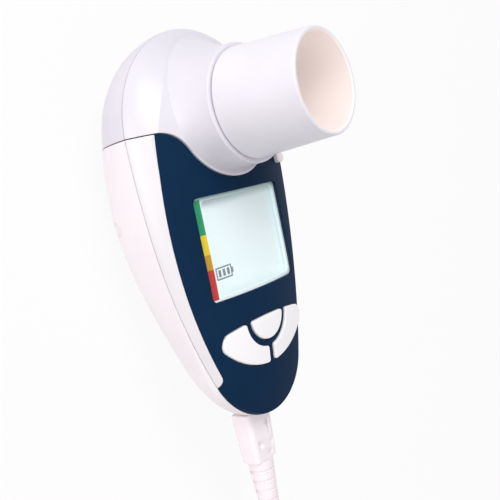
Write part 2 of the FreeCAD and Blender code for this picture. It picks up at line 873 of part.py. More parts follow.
def turnedAlongY(label, corners, x="0", y="0", z="0"):
    body = makeBody(label, x, y, z)
    sketch = makeSketch(body, label + "_profile")
    drawPolygon(sketch, corners)
    turn(body, sketch)
    return body


def cellRoom(label, grow, low):
    side = "dims.cellX + dims.cellRadius + dims.trayGap + (%s)" % grow
    reach = "dims.contactRoom + (%s)" % grow
    plan = rectangle("-(%s)" % side, "-dims.cellLength - (%s)" % reach, side, reach)
    return blockBody(label, plan, low, "dims.cellRadius + dims.trayGap + (%s)" % grow)


def doorBox(label, gap):
    half = "dims.doorHalf + (%s)" % gap
    plan = rectangle("-(%s)" % half, "-" + reachY, half, "dims.doorHighY + (%s)" % gap)
    return blockBody(label, plan, toolLow, "dims.doorTop + (%s)" % gap)


trayBox = cut(
    "tray_box",
    cellRoom("tray_out", "dims.trayWall", "-dims.trayLow"),
    cellRoom("tray_in", "0", "-dims.trayLow - dims.wall"),
)
doorSpace = cut(
    "door_space",
    doorBox("door_over", "dims.doorGap"),
    backForm("door_roof", "dims.wall + dims.doorLift"),
)
tray = cut("cell_tray", common("tray_joined", tilted("tray_tilted", trayBox), inner), doorSpace)

cells = []
contacts = []
for sign in (-1, 1):
    x = "%d * dims.cellX" % sign
    plus = "dims.cellNubHigh" if sign < 0 else "0"
    cell = turnedAlongY("cell%d" % (sign + 1), [
        ("0", "-dims.cellLength"),
        ("dims.cellRadius", "-dims.cellLength"),
        ("dims.cellRadius", "0"),
        ("dims.cellNub", "0"),
        ("dims.cellNub", "dims.cellNubHigh"),
        ("0", "dims.cellNubHigh"),
    ], x)
    if sign > 0:
        cell.Placement.Rotation = FreeCAD.Rotation(FreeCAD.Vector(0, 0, 1), 180)
        cell.setExpression("Placement.Base.y", "-dims.cellLength")
    cells.append(cell)
    for end in (-1, 1):
        back = "dims.contactRoom" if end > 0 else "-dims.cellLength - dims.contactRoom"
        face = "%s - (%d * dims.contactThick)" % (back, end)
        half = "dims.contactWide / 2"
        low, high = (face, back) if end > 0 else (back, face)
        name = "%d%d" % (sign + 1, end + 1)
        plate = blockBody("plate" + name, rectangle("-" + half, low, half, high), "-" + half, half, x)
        if sign * end < 0:
            reach = "%s - (%d * (dims.contactRoom - dims.cellNubHigh - dims.trayGap))" % (back, end)
            low, high = (reach, face) if end > 0 else (face, reach)
            boss = turnedAlongY("touch" + name, rectangle("0", low, "dims.cellNub", high), x)
            contacts.append(fuse("contact" + name, plate, boss))
        else:
            reach = "%s - (%d * (dims.contactRoom - dims.trayGap))" % (back, end)
            low, high = (reach, face) if end > 0 else (face, reach)
            near, far = ["dims.springTip", "dims.springBase"][::end]
            spring = turnedAlongY("spring" + name, [("0", low), (near, low), (far, high), ("0", high)], x)
            contacts.append(fuse("sprung" + name, plate, spring))
batteryCells = tilted("battery_cells", group("cells", cells))
cellContacts = tilted("cell_contacts", group("contacts", contacts))


# Rear cover and battery door

plugZ = "(dims.boardLow - dims.shellDeep / 2 - dims.plugFit - dims.socketWall)"


def barAlongY(label, wide, deep, fromY, toY, x="0", z="0"):
    """Square bar along Y, from the higher Y to the lower one"""
    body = makeBody(label, x, "0", z)
    sketch = makeSketch(body, label + "_section", "XZ_Plane", "-(%s)" % fromY)
    drawPolygon(sketch, centredRectangle(wide, deep))
    pad(body, sketch, "(%s) - (%s)" % (fromY, toY))
    return body


def beamRod(label, radius, x0, x1):
    body = makeBody(label, "0", "dims.beamY", "dims.beamZ")
    sketch = makeSketch(body, label + "_section", "YZ_Plane", x0)
    drawCircle(sketch, radius)
    pad(body, sketch, "(%s) - (%s)" % (x1, x0))
    return body


portHole = barAlongY(
    "port_hole", "(dims.shellWide + 2 * dims.portGap)", "(dims.shellDeep + 2 * dims.portGap)",
    "dims.socketMouthY + dims.wall", "-" + reachY, "0", plugZ,
)
ledBack = "(dims.ledTip + dims.ledLength)"
beamEnd = "(%s + dims.ledFlangeThick)" % ledBack
beamCutter = beamRod("beam_cutter", "dims.beamHole", "-" + beamEnd, beamEnd)
rearJoined = fuse(
    "rear_joined",
    common("rear_shell", cut("rear_raw", bodyShell, doorBox("door_hole", "dims.doorGap")), behindRear),
    cut("rear_posts", rearBosses, doorBox("door_clear", "dims.doorGap")), tray,
)
socketRoom = barAlongY(
    "socket_room", "(dims.shellWide + 4 * dims.plugFit + 2 * dims.socketWall)",
    "(dims.shellDeep + 4 * dims.plugFit + 2 * dims.socketWall)",
    "dims.socketMouthY + dims.socketLength", "dims.socketMouthY - dims.plugFit", "0", plugZ,
)
ledRoom = []
for sign in (-1, 1):
    ends = [ledBack + " - dims.plugFit", ledBack + " + 2 * dims.ledFlange"]
    if sign < 0:
        ends = ["-(%s)" % end for end in ends[::-1]]
    ledRoom.append(beamRod("led_room%d" % (sign + 1), "dims.ledFlange + dims.plugFit", *ends))
rearCover = cut("rear_cover", rearJoined, caseHoles, portHole, beamCutter, socketRoom, *ledRoom)
grip = []
for step in range(int(dim("gripSlots"))):
    y = "dims.doorHighY - dims.gripPitch * %d" % (step + 2)
    plan = rectangle("-dims.gripHalf", y, "dims.gripHalf", "%s + dims.gripPitch / 2" % y)
    grip.append(blockBody("grip%d" % step, plan, toolLow, "dims.gripDepth"))
doorSkin = cut("door_skin", outerBack, innerBack)
doorBlank = common("door_blank", doorSkin, doorBox("door_plan", "0"))
batteryDoor = cut("battery_door", doorBlank, fuse("grip", *grip))


# Board with its parts

def boardBlank():
    body = makeBody("board_blank")
    sketch = makeSketch(body, "board_outline", "XY_Plane", "dims.boardLow")
    drawEgg(
        sketch, "dims.headRadius - dims.boardInset", "dims.halfLength - dims.boardInset",
        "dims.noseRadius - dims.boardInset", "dims.boardInset - dims.halfLength",
        "dims.sideRadius - dims.boardInset",
    )
    pad(body, sketch, "dims.boardThick")
    return body


middlePlan = rectangle("-dims.earX", "dims.boardTopY", "dims.earX", reachY)
middle = blockBody("board_middle", middlePlan, faceLow, toolHigh)
beyond = blockBody("board_beyond", rectangle("-" + reachX, "dims.earY", reachX, reachY), faceLow, toolHigh)
mainBoard = cut("main_board", boardBlank(), middle, beyond, caseHoles)
# Place and half size of each chip under the board
chipPlaces = (
    ("0", "-9", "5", "5"),
    ("12", "-4", "3", "2.2"),
    ("-12", "-4", "2.2", "3.2"),
    ("-11", "-14", "1.6", "2.6"),
)
chips = []
for step, (x, y, halfX, halfY) in enumerate(chipPlaces):
    chips.append(blockBody(
        "chip%d" % step, rectangle("-" + halfX, "-" + halfY, halfX, halfY),
        "dims.boardLow - dims.chipThick", "dims.boardLow", x, y,
    ))
boardChips = group("board_chips", chips)
domeTop = "(%s + dims.domeThick)" % boardTop
stemEnd = "(%s + dims.keyTravel + dims.domeSlack)" % domeTop
keyStems = [
    ("-dims.sideKeyX", "dims.sideKeyY", "dims.domeRadius"),
    ("0", "dims.centreKeyY", "dims.domeRadius"),
    ("dims.sideKeyX", "dims.sideKeyY", "dims.domeRadius"),
]
domes = []
for step, (x, y, radius) in enumerate(keyStems + [("dims.nubX", "dims.nubY", "dims.nubDome")]):
    domes.append(turnedBody("dome%d" % step, [
        ("0", "0"), (radius, "0"), ("(%s) * 0.55" % radius, "dims.domeThick"), ("0", "dims.domeThick"),
    ], x, y, boardTop))
switchDomes = group("switch_domes", domes)
beeper = turnedBody("beeper", [
    ("0", "0"), ("dims.beeperRadius", "0"), ("dims.beeperRadius", "dims.beeperThick"),
    ("dims.beeperRadius / 4", "dims.beeperThick"), ("dims.beeperRadius / 4", "dims.beeperThick / 2"),
    ("0", "dims.beeperThick / 2"),
], "0", "dims.beeperY", boardTop)

glassHalf = "dims.displayHalf"
glassLow = "(dims.windowLow - dims.displayMargin)"
glassBottom = "(dims.displayTop - dims.displayThick)"


def displayBlock(label, grow, low, high):
    plan = rectangle(
        "-(%s + (%s))" % (glassHalf, grow), "%s - (%s)" % (glassLow, grow),
        "%s + (%s)" % (glassHalf, grow), "dims.displayHigh + (%s)" % grow,
    )
    return blockBody(label, plan, low, high)


displayGlass = displayBlock("display_glass", "0", glassBottom, "dims.displayTop")
carrierTop = glassBottom + " + dims.carrierFloor"
displayCarrier = cut(
    "display_carrier",
    displayBlock("carrier_out", "dims.carrierGap + dims.carrierWall", boardTop, carrierTop),
    displayBlock("carrier_seat", "dims.carrierGap", glassBottom, "dims.displayTop"),
    displayBlock("carrier_open", "-dims.connectorInset", faceLow, toolHigh),
)
connectorLow = "%s + dims.connectorInset + dims.carrierGap" % glassLow
connectorHalf = "(%s - dims.connectorInset - dims.carrierGap)" % glassHalf
displayConnector = blockBody("display_connector", rectangle(
    "-" + connectorHalf, connectorLow, connectorHalf, "%s + dims.connectorWidth" % connectorLow,
), boardTop, glassBottom)

socketBack = "dims.socketMouthY + dims.socketLength"
socketOut = barAlongY(
    "socket_out", "(dims.shellWide + 2 * dims.plugFit + 2 * dims.socketWall)",
    "(dims.shellDeep + 2 * dims.plugFit + 2 * dims.socketWall)",
    socketBack, "dims.socketMouthY", "0", plugZ,
)
socketIn = barAlongY(
    "socket_in", "(dims.shellWide + 2 * dims.plugFit)", "(dims.shellDeep + 2 * dims.plugFit)",
    socketBack + " - dims.socketWall", "dims.socketMouthY - dims.socketWall", "0", plugZ,
)
socketTongue = barAlongY(
    "socket_tongue", "(dims.shellWide - 2 * dims.shellWall - dims.tongueGap)", "dims.tongueThick",
    socketBack + " - dims.socketWall / 2", "dims.socketMouthY + dims.socketWall", "0", plugZ,
)
dataSocket = fuse("data_socket", cut("socket_shell", socketOut, socketIn), socketTongue)

leds = []
for sign, name in ((-1, "sensor_emitter"), (1, "sensor_detector")):
    def along(near, far):
        return (near, far) if sign > 0 else ("-(%s)" % far, "-(%s)" % near)

    lens = beamRod(name + "_lens", "dims.ledRadius", *along("dims.ledTip", ledBack))
    flange = beamRod(name + "_flange", "dims.ledFlange", *along(ledBack, beamEnd))
    legs = []
    for step in (-1, 1):
        x0, x1 = along(ledBack + " + dims.ledFlangeThick / 2", beamEnd + " + dims.ledLead")
        y = "dims.beamY + %d * dims.ledLeadGap" % step
        legs.append(blockBody(
            "%s_leg%d" % (name, step + 1),
            rectangle(x0, y + " - dims.ledLead / 2", x1, y + " + dims.ledLead / 2"),
            "dims.beamZ - dims.ledLead", "dims.boardLow",
        ))
    leds.append(fuse(name, lens, flange, *legs))
caseScrews = screws("case_screws", casePlaces, caseHigh)


# Keys and the small button beside the neck

keyTop = crownForm("key_top", "-dims.keyProud")
flangeTop = faceForm("flange_top", "dims.wall + dims.keyFlangeGap")
above = blockBody("above_flange", wholePlan, "dims.keyFlangeLow", toolHigh)
keys = []
keyNames = ("key_left", "key_centre", "key_right")
capPlans = keyPlans("key_cap", "0")
rimPlans = keyPlans("key_rim", "dims.keyGap + dims.keyFlange")
for name, plan, rim, (x, y, radius) in zip(keyNames, capPlans, rimPlans, keyStems):
    capBlank = common(name + "_blank", plan, keyTop, above)
    cap = roundTops(name + "_cap", capBlank, "dims.keyEdge", "dims.displayTop")
    flange = common(name + "_flange", rim, flangeTop, above)
    stem = discBody(name + "_stem", "dims.keyStem", stemEnd, "dims.displayTop", x, y)
    keys.append(fuse(name, cap, flange, stem))
sideButton = turnedBody("side_button", [
    ("0", stemEnd),
    ("dims.nubStem", stemEnd),
    ("dims.nubStem", "dims.nubFlangeTop - dims.nubFlangeThick"),
    ("dims.nubRadius + dims.nubFlange", "dims.nubFlangeTop - dims.nubFlangeThick"),
    ("dims.nubRadius + dims.nubFlange", "dims.nubFlangeTop"),
    ("dims.nubRadius", "dims.nubFlangeTop"),
    ("dims.nubRadius", "dims.nubTop - dims.keyEdge"),
    ("dims.nubRadius - dims.keyEdge", "dims.nubTop"),
    ("0", "dims.nubTop"),
], "dims.nubX", "dims.nubY")


# Head: front with the flared neck, rear with the outlet

def flareBody():
    body = makeBody("neck_flare", "0", "dims.tubeY")
    sketch = makeSketch(body, "neck_profile", "XZ_Plane")
    seat, rim, top = number("dims.tubeSeat"), number("dims.neckRadius"), number("dims.neckTop")
    radius, depth = number("dims.flareRadius"), number("dims.flareDepth")
    low = top - depth
    foot = rim + radius - math.sqrt(radius**2 - depth**2)
    start, end = math.pi, math.pi + math.asin(depth / radius)
    circle = Part.Circle(FreeCAD.Vector(rim + radius, top, 0), FreeCAD.Vector(0, 0, 1), radius)
    corner = FreeCAD.Vector
    sketch.addGeometry(Part.LineSegment(corner(seat, low, 0), corner(foot, low, 0)), False)
    sketch.addGeometry(Part.ArcOfCircle(circle, start, end), False)
    sketch.addGeometry(Part.LineSegment(corner(rim, top, 0), corner(seat, top, 0)), False)
    sketch.addGeometry(Part.LineSegment(corner(seat, top, 0), corner(seat, low, 0)), False)
    for first, second in (((0, 2), (1, 2)), ((1, 1), (2, 1)), ((2, 2), (3, 1)), ((3, 2), (0, 1))):
        sketch.addConstraint(Sketcher.Constraint("Coincident", *first, *second))
    sketch.addConstraint(Sketcher.Constraint("Horizontal", 0))
    bindPoint(sketch, 0, 1, "dims.tubeSeat", "dims.neckTop - dims.flareDepth")
    bindPoint(sketch, 3, 1, "dims.tubeSeat", "dims.neckTop")
    bindPoint(sketch, 2, 1, "dims.neckRadius", "dims.neckTop")
    bindPoint(sketch, 1, 3, "dims.neckRadius + dims.flareRadius", "dims.neckTop")
    turned = turn(body, sketch)
    fillet(body, turned, "dims.neckRim", lambda edge: isCircle(edge, rim, top))
    return body


headForms = fuse("head_forms", outerBack, faceForm("head_face", "0", "-dims.headProud"), flareBody())
headShell = cut(
    "head_shell",
    common("head_outer", headForms, headOuter),
    common("head_inner", inner, headInner),
    discBody("seat_bore", "dims.tubeSeat", "dims.partingHeight", toolHigh, "0", "dims.tubeY"),
    discBody("neck_bore", "dims.neckBore", "dims.neckShelf", toolHigh, "0", "dims.tubeY"),
)
postForms = fuse("post_forms", outerBack, faceForm("post_face", "dims.panelThick"))
headPosts = bosses("head_posts", headPlaces, toolLow, toolHigh, common("post_limit", postForms, headOuter))
headFront = cut("head_front", fuse("head_upper", headShell, headPosts), behindFront, headHoles)
outletRing = cut(
    "outlet_ring",
    discBody("outlet_out", "dims.tubeSeat + dims.bossWall", toolLow, "dims.bossTop", "0", "dims.tubeY"),
    discBody("outlet_in", "dims.tubeSeat", toolLow, "dims.bossTop", "0", "dims.tubeY"),
)
slots = []
slotCount = int(dim("grilleRadius") / dim("slotPitch"))
for step in range(-slotCount, slotCount + 1):
    x = "dims.slotPitch * %d" % step
    plan = rectangle(x + " - dims.slotWidth / 2", "0", x + " + dims.slotWidth / 2", reachY)
    slots.append(blockBody("slot%d" % (step + slotCount), plan, toolLow, "dims.slotTop"))
grille = discBody("grille", "dims.grilleRadius", toolLow, "dims.slotTop", "0", "dims.tubeY")
outlet = common("outlet", fuse("slots", *slots), grille)
outletSeat = common("outlet_seat", outletRing, common("outlet_limit", outer, headOuter))
headBack = fuse("head_back", headShell, headPosts, outletSeat)
headRear = cut("head_rear", common("head_lower", headBack, behindRear), headHoles, outlet, beamCutter)
headScrews = screws("head_screws", headPlaces, headHigh)


# Turbine inside the head, and the mouthpiece

turbineOuter = "(dims.tubeSeat - dims.turbineGap)"
turbineInner = "(%s - dims.turbineWall)" % turbineOuter
ringOuter = "(%s - dims.turbineGap)" % turbineInner
turbineTube = cut("turbine_tube", turnedBody("turbine_blank", [
    (turbineInner, "dims.turbineLow"), (turbineOuter, "dims.turbineLow"),
    (turbineOuter, "dims.neckShelf - dims.sealGap"), (turbineInner, "dims.neckShelf - dims.sealGap"),
], "0", "dims.tubeY"), beamCutter)


def hubAndRing(label, hub, low, length, arms, armThick, twist, bearingLow):
    """Ring in the turbine tube and a hub with a bearing pocket, joined by straight or twisted arms"""
    body = makeBody(label, "0", "dims.tubeY")
    high = "(%s) + (%s)" % (low, length)
    ring = makeSketch(body, label + "_ring", "XY_Plane", low)
    drawCircle(ring, ringOuter)
    drawCircle(ring, ringOuter + " - dims.ringWall")
    pad(body, ring, length)
    centre = makeSketch(body, label + "_hub", "XY_Plane", low)
    drawCircle(centre, hub)
    pad(body, centre, length)
    rings = []
    armEnd = ringOuter + " - dims.ringWall / 2"
    for step in range(3):
        level = "(%s) + (%s) * %s" % (low, length, step / 2)
        arm = makeSketch(body, "%s_arm%d" % (label, step), "XY_Plane", level)
        arm.AttachmentOffset.Rotation = FreeCAD.Rotation(FreeCAD.Vector(0, 0, 1), number(twist) * step / 2)
        drawPolygon(arm, rectangle("(%s) / 2" % hub, "-(%s) / 2" % armThick, armEnd, "(%s) / 2" % armThick))
        rings.append(arm)
    blade = loft(body, rings)
    polarPattern(body, blade, arms)
    hole = discBody(label + "_pocket", "dims.bearingRadius + dims.spindlePlay", bearingLow,
                    "(%s) + dims.bearingLength" % bearingLow, "0", "dims.tubeY")
    return cut(label, body, hole)


frontBearingLow = "dims.statorLow"
rearBearingLow = "(dims.spiderLow + dims.spiderLength - dims.bearingLength)"
swirlStator = hubAndRing("swirl_stator", "dims.statorHub", "dims.statorLow", "dims.statorLength",
                         "dims.statorBlades", "dims.statorBlade", "dims.statorTwist", frontBearingLow)
rearSpider = hubAndRing("rear_spider", "dims.spiderHub", "dims.spiderLow", "dims.spiderLength",
                        "dims.spiderArms", "dims.spiderArm", "0", rearBearingLow)


def cupBearing(label, low, up):
    """Cup with a blind bore, open towards the rotor"""
    def at(z):
        return "(%s) + (%s)" % (low, z) if up else "(%s) + dims.bearingLength - (%s)" % (low, z)

    bottom = at("dims.bearingLength - dims.spindleEnd")
    return turnedBody(label, [
        ("dims.bearingBore", at("0")), ("dims.bearingRadius", at("0")),
        ("dims.bearingRadius", at("dims.bearingLength")), ("0", at("dims.bearingLength")),
        ("0", bottom), ("dims.bearingBore", bottom),
    ], "0", "dims.tubeY")


frontBearing = cupBearing("front_bearing", frontBearingLow, True)
rearBearing = cupBearing("rear_bearing", rearBearingLow, False)
spindleLow = "(%s + dims.spindleEnd + dims.spindlePlay)" % rearBearingLow
spindleHigh = "(%s + dims.bearingLength - dims.spindleEnd - dims.spindlePlay)" % frontBearingLow
rotorSpindle = discBody("rotor_spindle", "dims.spindleRadius", spindleLow, spindleHigh, "0", "dims.tubeY")
vanePlan = centredRectangle("dims.vaneSpan", "dims.vaneThick")
vaneSides = blockBody("vane_sides", vanePlan, "dims.vaneLow", "dims.vaneHigh", "0", "dims.tubeY")
vaneHub = discBody("vane_hub", "dims.vaneHub", "dims.vaneLow", "dims.vaneHigh", "0", "dims.tubeY")
vaneBore = discBody("vane_bore", "dims.spindleRadius", toolLow, toolHigh, "0", "dims.tubeY")
rotorVane = cut("rotor_vane", fuse("vane_joined", vaneSides, vaneHub), vaneBore)

sealTop = "(dims.neckShelf + dims.sealThick)"
sealSection = rectangle("dims.spigotBore", "dims.neckShelf", "dims.neckBore - dims.sealGap", sealTop)
neckSeal = turnedBody("neck_seal", sealSection, "0", "dims.tubeY")
mouthSeat = "(dims.neckTop + dims.footGap)"
spigotOuter = "(dims.neckBore - dims.spigotGap)"
mouthBody = turnedBody("mouthpiece_tube", [
    ("dims.spigotBore", "%s + dims.sealGap" % sealTop), (spigotOuter, "%s + dims.sealGap" % sealTop),
    (spigotOuter, mouthSeat), ("dims.mouthBase", mouthSeat),
    ("dims.mouthOuter", "dims.mouthHeight"), ("dims.mouthBore", "dims.mouthHeight"),
    ("dims.mouthBore", "dims.mouthHeight - dims.mouthBoreDepth"),
    ("dims.spigotBore", "dims.mouthHeight - dims.mouthBoreDepth - dims.boreStep"),
], "0", "dims.tubeY")


def isMouthRim(edge):
    return isinstance(edge.Curve, Part.Circle) and abs(edge.Curve.Center.z - dim("mouthHeight")) < 1e-4


fillet(mouthBody, mouthBody.Tip, "dims.mouthRim", isMouthRim)


# Data lead: plug, strain relief, cord, tied coil and far plug

plugEndY = "(dims.plugStartY - dims.plugLength)"


def plugHousing():
    body = makeBody("plug_housing", "0", "0", plugZ)
    sections = []
    ends = (("near", "dims.plugStartY", "dims.plugWide", "dims.plugDeep"),
            ("far", plugEndY, "dims.plugEndWide", "dims.plugEndDeep"))
    for name, y, wide, deep in ends:
        sketch = makeSketch(body, "plug_" + name, "XZ_Plane", "-(%s)" % y)
        drawPolygon(sketch, centredRectangle(wide, deep))
        sections.append(sketch)
    blank = loft(body, sections)

    def isLong(edge):
        return abs(edge.Vertexes[0].Y - edge.Vertexes[-1].Y) > 1

    rounded = fillet(body, blank, "dims.plugCorner", isLong)
    fillet(body, rounded, "dims.plugEdge", lambda edge: not isLong(edge))
    return body


plug = plugHousing()
shellTip = "dims.plugStartY + dims.shellLength"
plugShell = cut(
    "plug_shell",
    barAlongY("shell_out", "dims.shellWide", "dims.shellDeep", shellTip, "dims.plugStartY", "0", plugZ),
    barAlongY("shell_in", "(dims.shellWide - 2 * dims.shellWall)", "(dims.shellDeep - 2 * dims.shellWall)",
              shellTip + " + dims.shellFloor", "dims.plugStartY + dims.shellFloor", "0", plugZ),
)
reliefCorners = [("0", plugEndY), ("dims.reliefRadius", plugEndY)]
ribPitch = "(dims.reliefLength / (dims.reliefRibs + 1))"
reliefSlope = "((dims.reliefRadius - dims.reliefEnd) / dims.reliefLength)"
for step in range(1, int(dim("reliefRibs")) + 1):
    for side in (-1, 1):
        along = "(%s * %d + %d * dims.ribWidth / 2)" % (ribPitch, step, side)
        radius = "dims.reliefRadius - %s * %s" % (reliefSlope, along)
        y = "%s - %s" % (plugEndY, along)
        high, low = (radius, y), ("%s - dims.ribDepth" % radius, y)
        reliefCorners += [high, low] if side < 0 else [low, high]
reliefTip = "(%s - dims.reliefLength)" % plugEndY
reliefCorners += [("dims.reliefEnd", reliefTip), ("0", reliefTip)]
strainRelief = turnedAlongY("strain_relief", reliefCorners[::-1], "0", "0", plugZ)

coilIn, coilOut = "(dims.coilRadius - dims.coilHalfWidth)", "(dims.coilRadius + dims.coilHalfWidth)"
leadCoil = turnedBody("lead_coil", [
    (coilIn + " + dims.coilEdge", "0"), (coilOut + " - dims.coilEdge", "0"),
    (coilOut, "dims.coilEdge"), (coilOut, "dims.coilHeight - dims.coilEdge"),
    (coilOut + " - dims.coilEdge", "dims.coilHeight"), (coilIn + " + dims.coilEdge", "dims.coilHeight"),
    (coilIn, "dims.coilHeight - dims.coilEdge"), (coilIn, "dims.coilEdge"),
], "dims.coilX", "dims.coilY")

leadPoints = [
    (0, -93.9, 24.95),
    (0.6, -104, 24.2),
    (3.4, -115.3, 19.8),
    (8.5, -126, 11),
    (14.5, -137, 4.2),
    (20.2, -148.5, 1.95),
    (24.8, -160.5, 1.96),
    (27.3, -173, 1.95),
]
tailPoints = [
    (26.9, -180.7, 13.5),
    (24.9, -192.3, 12.7),
    (22, -203.8, 9.4),
    (19.6, -215, 5.8),
    (18.6, -226, 4.2),
]


def cordPath(points):
    """Straight runs between the points, joined by tangent arcs"""
    places = [FreeCAD.Vector(*point) for point in points]
    edges = []
    start = places[0]
    for before, corner, after in zip(places, places[1:], places[2:]):
        back, ahead = (before - corner), (after - corner)
        turning = math.pi - back.getAngle(ahead)
        trim = 0.45 * min(back.Length, ahead.Length)
        radius = trim / math.tan(turning / 2)
        print("cord bend radius %.1f mm, turn %.1f degrees" % (radius, math.degrees(turning)))
        inward, outward = corner + back.normalize() * trim, corner + ahead.normalize() * trim
        bisector = (back + ahead).normalize()
        middle = corner + bisector * (radius / math.cos(turning / 2) - radius)
        edges += [Part.makeLine(start, inward), Part.Arc(inward, middle, outward).toShape()]
        start = outward
    edges.append(Part.makeLine(start, places[-1]))
    return Part.Wire(edges)


def cordTube(label, points, radius):
    path = cordPath(points)
    heading = FreeCAD.Vector(*points[1]) - FreeCAD.Vector(*points[0])
    section = Part.Wire(Part.makeCircle(radius, FreeCAD.Vector(*points[0]), heading))
    feature = doc.addObject("Part::Feature", label)
    feature.Shape = path.makePipeShell([section], True, True)
    expected, made = math.pi * radius**2 * path.Length, feature.Shape.Volume
    print("%s: length %.1f mm, volume %.0f of %.0f mm3" % (label, path.Length, made, expected))
    return feature


coilSection = rectangle(coilIn, toolLow, coilOut + " + dims.cordGap", "dims.coilHeight")
coilRound = turnedBody("coil_clear", coilSection, "dims.coilX", "dims.coilY")
leadCord = cut("lead_cord", cordTube("lead_run", leadPoints, dim("cordRadius")), coilRound, strainRelief)
tailRun = cordTube("tail_run", tailPoints, dim("cordRadius"))
tieIn, tieOut = coilIn + " - dims.tieThick", coilOut + " + dims.tieThick"
tieSection = rectangle(tieIn, "dims.tieLow", tieOut, "dims.coilHeight + dims.tieThick")
tieBand = turnedBody("tie_band", tieSection, "dims.coilX", "dims.coilY")
tiePlan = rectangle("-" + reachY, "-dims.tieWidth / 2", "0", "dims.tieWidth / 2")
tieSlice = blockBody("tie_slice", tiePlan, toolLow, toolHigh, "dims.coilX", "dims.coilY")
leadTie = cut("lead_tie", common("tie_blank", tieBand, tieSlice), leadCoil)

farZ = "(dims.farDeep / 2)"
farFront = "(dims.farY - dims.farLength)"
farShellTip = "(%s - dims.farShellLength)" % farFront


def farBar(label, wide, deep, fromY, toY, z=farZ):
    return barAlongY(label, wide, deep, fromY, toY, "dims.farX", z)


farHousing = farBar("far_plug_housing", "dims.farWide", "dims.farDeep", "dims.farY", farFront)
fillet(farHousing, farHousing.Tip, "dims.farCorner", lambda edge: True)
leadTail = cut("lead_tail", tailRun, coilRound, farHousing)
farWide, farDeep = "(dims.farShellWide - 2 * dims.shellWall)", "(dims.farShellDeep - 2 * dims.shellWall)"
farFloor, farBeyond = farFront + " - dims.shellFloor", farShellTip + " - dims.shellFloor"
farShell = cut(
    "far_plug_shell",
    farBar("far_shell_out", "dims.farShellWide", "dims.farShellDeep", farFront, farShellTip),
    farBar("far_shell_in", farWide, farDeep, farFloor, farBeyond),
)
farTongue = farBar(
    "far_plug_tongue", farWide + " - 2 * dims.plugFit", "dims.farTongue",
    farFloor, farShellTip + " + dims.farTongueShort", "%s + dims.farTongueRise" % farZ,
)


# Export, one file for each piece

pieces = {
    "front_cover": frontCover, "rear_cover": rearCover, "front_panel": frontPanel, "zone_strip": zoneStrip,
    "display_window": displayWindow, "display_glass": displayGlass, "display_carrier": displayCarrier,
    "display_connector": displayConnector, "main_board": mainBoard, "board_chips": boardChips,
    "switch_domes": switchDomes, "beeper": beeper, "data_socket": dataSocket, "sensor_emitter": leds[0],
    "sensor_detector": leds[1], "battery_cells": batteryCells, "cell_contacts": cellContacts,
    "case_screws": caseScrews, "battery_door": batteryDoor,
    "key_left": keys[0], "key_centre": keys[1], "key_right": keys[2], "side_button": sideButton,
    "head_front": headFront, "head_rear": headRear, "head_screws": headScrews, "turbine_tube": turbineTube,
    "swirl_stator": swirlStator, "rear_spider": rearSpider, "front_bearing": frontBearing,
    "rear_bearing": rearBearing, "rotor_spindle": rotorSpindle, "rotor_vane": rotorVane,
    "neck_seal": neckSeal, "mouthpiece_tube": mouthBody,
    "plug_housing": plug, "plug_shell": plugShell, "strain_relief": strainRelief,
    "lead_cord": leadCord, "lead_tail": leadTail, "lead_coil": leadCoil, "lead_tie": leadTie,
    "far_plug_housing": farHousing, "far_plug_shell": farShell, "far_plug_tongue": farTongue,
}
doc.recompute()
for item in doc.Objects:
    if "Invalid" in item.State or "Error" in item.State:
        raise RuntimeError("%s doesn't build: %s" % (item.Label, item.State))
os.makedirs("parts", exist_ok=True)
for label, item in pieces.items():
    shape = item.Shape
    if shape.isNull() or not shape.isValid() or not shape.Solids:
        raise RuntimeError("%s has no valid solid" % label)
    item.Label = label
    shape.exportStep("parts/%s.step" % label)
    print("%s: %d solid(s), %.0f mm3" % (label, len(shape.Solids), shape.Volume))
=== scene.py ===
import math
import bpy
from mathutils import Matrix, Vector


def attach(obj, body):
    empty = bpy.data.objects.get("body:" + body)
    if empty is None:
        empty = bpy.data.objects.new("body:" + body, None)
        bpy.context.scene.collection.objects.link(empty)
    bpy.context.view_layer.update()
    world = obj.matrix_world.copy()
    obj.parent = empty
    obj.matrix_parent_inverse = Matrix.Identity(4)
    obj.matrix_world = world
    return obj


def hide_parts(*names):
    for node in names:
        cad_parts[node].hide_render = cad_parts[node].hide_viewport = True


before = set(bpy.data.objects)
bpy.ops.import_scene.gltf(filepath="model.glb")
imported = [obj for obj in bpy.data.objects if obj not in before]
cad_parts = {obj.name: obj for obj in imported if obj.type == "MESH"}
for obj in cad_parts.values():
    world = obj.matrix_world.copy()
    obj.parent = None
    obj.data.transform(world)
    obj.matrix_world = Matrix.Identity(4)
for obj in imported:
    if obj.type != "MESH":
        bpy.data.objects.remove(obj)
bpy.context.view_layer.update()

scene = bpy.context.scene
mm = 0.001  # places and sizes are written in millimetres


# Camera at the photo's viewpoint, which was fitted to the meter's outline

photoView = {
    "place": (-152.96, 13.12, 165.81),
    "right": (0.612201, -0.201109, 0.764699),
    "up": (0.209616, 0.97379, 0.088284),
    "focalPixels": 709.232,
    "photoPixels": 500,
}


def placeCamera():
    data = bpy.data.cameras.new("photoCamera")
    data.lens = photoView["focalPixels"] / photoView["photoPixels"] * data.sensor_width
    camera = bpy.data.objects.new("photoCamera", data)
    right, up = Vector(photoView["right"]), Vector(photoView["up"])
    turned = Matrix((right, up, right.cross(up))).transposed().to_4x4()
    camera.matrix_world = Matrix.Translation(Vector(photoView["place"]) * mm) @ turned
    scene.collection.objects.link(camera)
    scene.camera = camera
    print("camera placed")


placeCamera()


# Shader helpers

